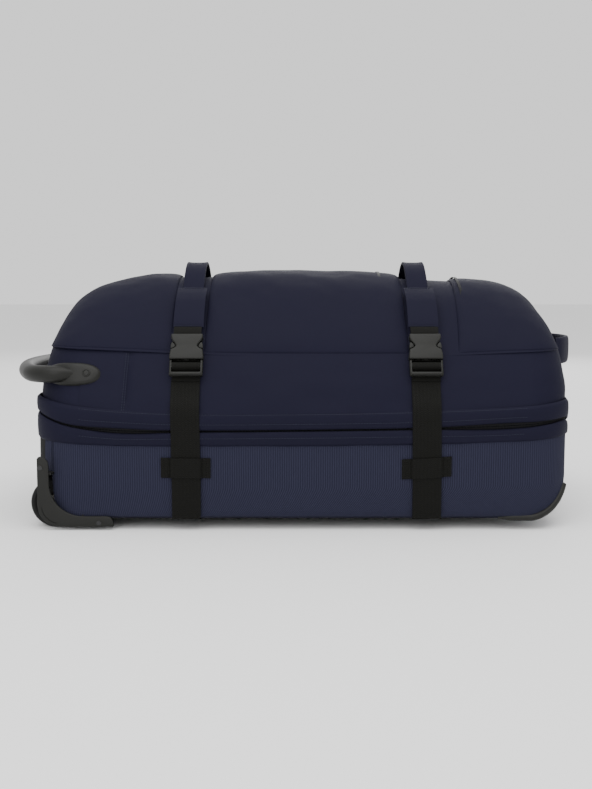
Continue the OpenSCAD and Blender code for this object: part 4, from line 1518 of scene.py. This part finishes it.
# %% Tubes, tray and grip
for node in ("outer_tubes", "middle_tubes", "inner_tubes"):
    repaint(node, anodised)
for node in ("trolley_tray", "tube_brackets", "release_button"):
    repaint(node, black_plastic)
repaint("frame_sheet", board_plastic)
for node in ("wheel_axles", "wheel_bearings"):
    repaint(node, plated_steel)
repaint("base_screws", lacquered_zinc)
for node in ("zip_slider_near", "zip_slider_far", "zip_pull_near", "zip_pull_far"):
    repaint(node, lacquered_zinc)
grip_low, grip_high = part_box("trolley_grip")
grip = block("trolley_grip_moulded", grip_low, grip_high, 0.0070, 6)
cut(grip, block("button_cutter", (grip_high.x - 0.008, -0.019, 0.0285),
                (grip_high.x + 0.01, 0.019, 0.0415), 0.002))
for i in range(9):
    y = -0.064 + 0.016 * i
    if abs(y) > 0.025:
        cut(grip, round_bar("groove_cutter", (grip_low.x - 0.002, y, 0.0452),
                            (grip_high.x + 0.002, y, 0.0452), 0.0016, 12))
fit(grip, black_plastic, "trolley_inner", "black_plastic", "trolley_grip")
print("grip:", [round(x, 3) for x in grip.dimensions])

# %% [markdown]
# ## Stitches
# Seams that show are sewn over with a visible thread. One stitch is a tiny spindle. An Array
# repeats it and a Curve bends the row along the seam.

# %% Rows of stitches
def stitch_row(name, points, pitch=0.0036, length=0.0026, thick=0.00042):
    """A row of stitches along points, each lying half in the cloth."""
    total = running_length(points)[-1]
    line_data = bpy.data.curves.new(name + "_line", "CURVE")
    line_data.dimensions = "3D"
    spline = line_data.splines.new("POLY")
    spline.points.add(len(points) - 1)
    for target, point in zip(spline.points, points):
        target.co = (*point, 1)
    line = bpy.data.objects.new(name + "_line", line_data)
    bpy.context.scene.collection.objects.link(line)
    let_go()
    bpy.ops.mesh.primitive_uv_sphere_add(segments=6, ring_count=4, radius=1)
    row = named(name)
    row.rotation_euler = (0, math.pi / 2, 0)
    row.scale = (thick, thick, length / 2)
    settle(row)
    row.data.transform(Matrix.Translation((length / 2, 0, 0)))
    finish_with(row, "ARRAY", count=max(1, int(total / pitch)), use_relative_offset=False,
                use_constant_offset=True, constant_offset_displace=(pitch, 0, 0))
    finish_with(row, "CURVE", object=line, deform_axis="POS_X")
    bpy.data.objects.remove(line)
    return row


def flap_stitches(name, place, v, first, last):
    """A row of stitches along a storm flap, between two places along the bag."""
    u0, u1 = ((first - LEFT - PLAN_R) / LAP, (last - LEFT - PLAN_R) / LAP)
    return stitch_row(name, [place(u0 + (u1 - u0) * i / 160, v) + Vector((0, -0.0002, 0))
                             for i in range(161)])


flap_rows = [flap_stitches("upper_hem", upper_flap_place, 0.62, -0.286, 0.304),
             flap_stitches("upper_seam_row", upper_flap_place, 0.10, -0.286, 0.304)]
fit(join("upper_flap_stitches", flap_rows), thread, "lid", "navy_fabric")
flap_rows = [flap_stitches("lower_hem", lower_flap_place, 0.55, -0.286, 0.304)]
fit(join("lower_flap_stitches", flap_rows), thread, "base", "navy_fabric")


def gusset_seam_row(name, x):
    s = x - LEFT - PLAN_R
    return stitch_row(name, [lid_point(s, gusset_height(s, v / 40), gusset_swell(s, v / 40) - 0.0006)
                             for v in range(1, 40)])


seam_rows = [gusset_seam_row("join_a", JOIN_X - 0.0022), gusset_seam_row("join_b", JOIN_X - 0.0050)]
fit(join("gusset_join_stitches", seam_rows), thread, "lid", "navy_fabric")


def box_row(name, corners):
    """Stitches round a closed box of corner points."""
    points = []
    for a, b in zip(corners, corners[1:] + corners[:1]):
        points += [a.lerp(b, t / 8) for t in range(8)]
    return stitch_row(name, points + [corners[0]], pitch=0.0026, length=0.0019, thick=0.00034)


def keeper_boxes(middle, tilt, side):
    rows = []
    for end in (-1, 1):
        x0, x1 = middle + end * 0.0225, middle + end * 0.0312
        y = side * (HALF + 0.0026)
        lift = [tilt * (x - middle) / KEEPER_HALF for x in (x0, x1)]
        low, high = KEEPER_LOW + 0.0022, KEEPER_HIGH - 0.0022
        corners = [Vector((x0, y, low + lift[0])), Vector((x1, y, low + lift[1])),
                   Vector((x1, y, high + lift[1])), Vector((x0, y, high + lift[0]))]
        rows.append(box_row(f"keeper_box_{end}", corners))
    return rows


box_rows = []
for x, tilt in zip(STRAP_X, KEEPER_TILT):
    box_rows += keeper_boxes(x, tilt, -1) + keeper_boxes(x, tilt, 1)
fit(join("keeper_stitches", box_rows), black_thread, "base", "black_webbing")


def tab_rows(middle):
    points = path_through([Vector((0, y, z)) for y, z in TAB_PATH], 40)
    rows = []
    for i in (2, 37):
        run = (points[i + 1] - points[i - 1]).normalized()
        out = Vector((0, -run.z, run.y))
        spot = points[i] + out * 0.0010
        rows.append(stitch_row(f"tab_row_{i}", [Vector((middle + t, spot.y, spot.z))
                                               for t in (-0.0190, -0.010, 0.0, 0.010, 0.0190)]))
    return rows


near_tab_rows = join("tab_stitches_near", tab_rows(STRAP_X[0]) + tab_rows(STRAP_X[1]))
far_tab_rows = across_copy(near_tab_rows, "tab_stitches_far")
fit(join("tab_stitches", [near_tab_rows, far_tab_rows]), thread, "lid", "navy_fabric")
print("stitch rows made")

# %% [markdown]
# ## Hinge and lining
# A strip of cloth joins base and lid along the far side. The faces that look into the bag carry a grey
# lining.

# %% The sewn hinge
HINGE_FOLD = 0.0030


def hinge_place(u, v):
    x = -0.272 + 0.562 * u
    z = 0.1305 + 0.0130 * v
    return Vector((x, HALF - 0.0015 + HINGE_FOLD * math.sin(math.pi * v) * 0.5, z))


hinge_strip = sheet("hinge_strip", 90, 24, hinge_place, 0.0010, heart=Vector((0, 0, 0.137)))
dress(hinge_strip, smooth_navy)
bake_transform(hinge_strip)

# %% Lining
for panel in (near_panel, far_panel, gusset, crown):
    line_inside(panel)
print("lined panels: 4")

# %% [markdown]
# ## Pocket zips
# Each pocket opens with a zip that runs over the arch beside the pocket's seam. The coil follows
# the cloth, and its slider sits on the coil at the far end.

# %% Coils and sliders of the pockets
ZIP_AXIS = 0.211
ZIP_PARK = math.radians(33)
ZIP_PLACES = (("wheel", "a", -0.196, 0.0042), ("middle", "b", 0.120, 0.0078), ("top", "c", 0.234, 0.0062))


def pocket_coil(name, x, lift):
    def place(u, v):
        y = 0.092 * (2 * v - 1)
        return crown_point(x, y / crown_half(x), lift + 0.0012) + Vector((0.0040 * (u - 0.5), 0, 0))
    return sheet(name, 4, 60, place, 0.0009)


def on_arch(x, lift, angle):
    """Where a line from the zip's axis at an angle meets the pocket."""
    low, high = 0.05, 0.20
    for _ in range(30):
        r = (low + high) / 2
        y = r * math.sin(angle)
        surface = crown_point(x, y / crown_half(x), lift).z
        low, high = (r, high) if ZIP_AXIS + r * math.cos(angle) < surface else (low, r)
    return r


def arch_slider(name, x, lift):
    r = on_arch(x, lift, ZIP_PARK)
    body = block("slider_body", (x - 0.0045, -0.0060, r + 0.0012), (x + 0.0045, 0.0060, r + 0.0042), 0.0010)
    tab = block("slider_tab", (x - 0.0020, 0.0030, r + 0.0036), (x + 0.0020, 0.0185, r + 0.0050), 0.0006)
    piece = join(name, [body, tab])
    piece.data.transform(Matrix.Translation((0, 0, ZIP_AXIS)) @ Matrix.Rotation(-ZIP_PARK, 4, "X"))
    return piece


coils = []
for label, body, x, lift in ZIP_PLACES:
    coils.append(pocket_coil(f"coil_{label}", x, lift))
    fit(arch_slider(f"pocket_slider_{label}_cast", x, lift), lacquered_zinc, f"pocket_slider_{body}",
        "zip_metal", f"pocket_slider_{label}")
fit(join("pocket_coils_laid", coils), coil_nylon, "lid", "zip_coil", "pocket_zip_coils")
print("pocket zips:", len(coils))

# %% [markdown]
# ## Floor, light and camera
# The bag lies on a plain pale floor in even studio light: a broad soft light from above and in
# front, a weaker one from each side, and a pale surround. The camera stands level with the lid's
# front and looks slightly down at the buckles.

# %% Studio
def pale_floor():
    let_go()
    bpy.ops.mesh.primitive_plane_add(size=40, location=(0, 0, 0))
    floor = named("studio_floor")
    ground = Finish("studio_floor", (0.86, 0.86, 0.86), 0.9, specular=0.1)
    dress(floor, ground)


def soft_light(name, spot, aim, size, power):
    let_go()
    bpy.ops.object.light_add(type="AREA", location=spot)
    light = bpy.context.object
    light.name = name
    light.data.shape = "RECTANGLE"
    light.data.size, light.data.size_y = size
    light.data.energy = power
    light.rotation_euler = (Vector(aim) - Vector(spot)).to_track_quat("-Z", "Y").to_euler()


pale_floor()
soft_light("top_light", (0.0, -0.9, 2.6), (0, 0, 0.1), (3.0, 2.2), 62)
soft_light("front_light", (-0.6, -3.0, 1.5), (0, 0, 0.15), (2.4, 1.8), 34)
soft_light("back_light", (0.4, 2.8, 1.6), (0, 0, 0.15), (2.4, 1.8), 34)
surround = bpy.data.worlds.new("studio")
surround.use_nodes = True
surround.node_tree.nodes["Background"].inputs["Color"].default_value = (0.95, 0.95, 0.95, 1)
surround.node_tree.nodes["Background"].inputs["Strength"].default_value = 1.2
bpy.context.scene.world = surround

# %% Camera
let_go()
bpy.ops.object.camera_add(location=(-0.0005, -1.5, 0.318))
camera = bpy.context.object
camera.name = "studio_camera"
camera.data.sensor_fit = "VERTICAL"
camera.data.sensor_height = 36
camera.data.lens = 45.6
camera.rotation_euler = (math.radians(90 - 6.0), 0, 0)
bpy.context.scene.camera = camera
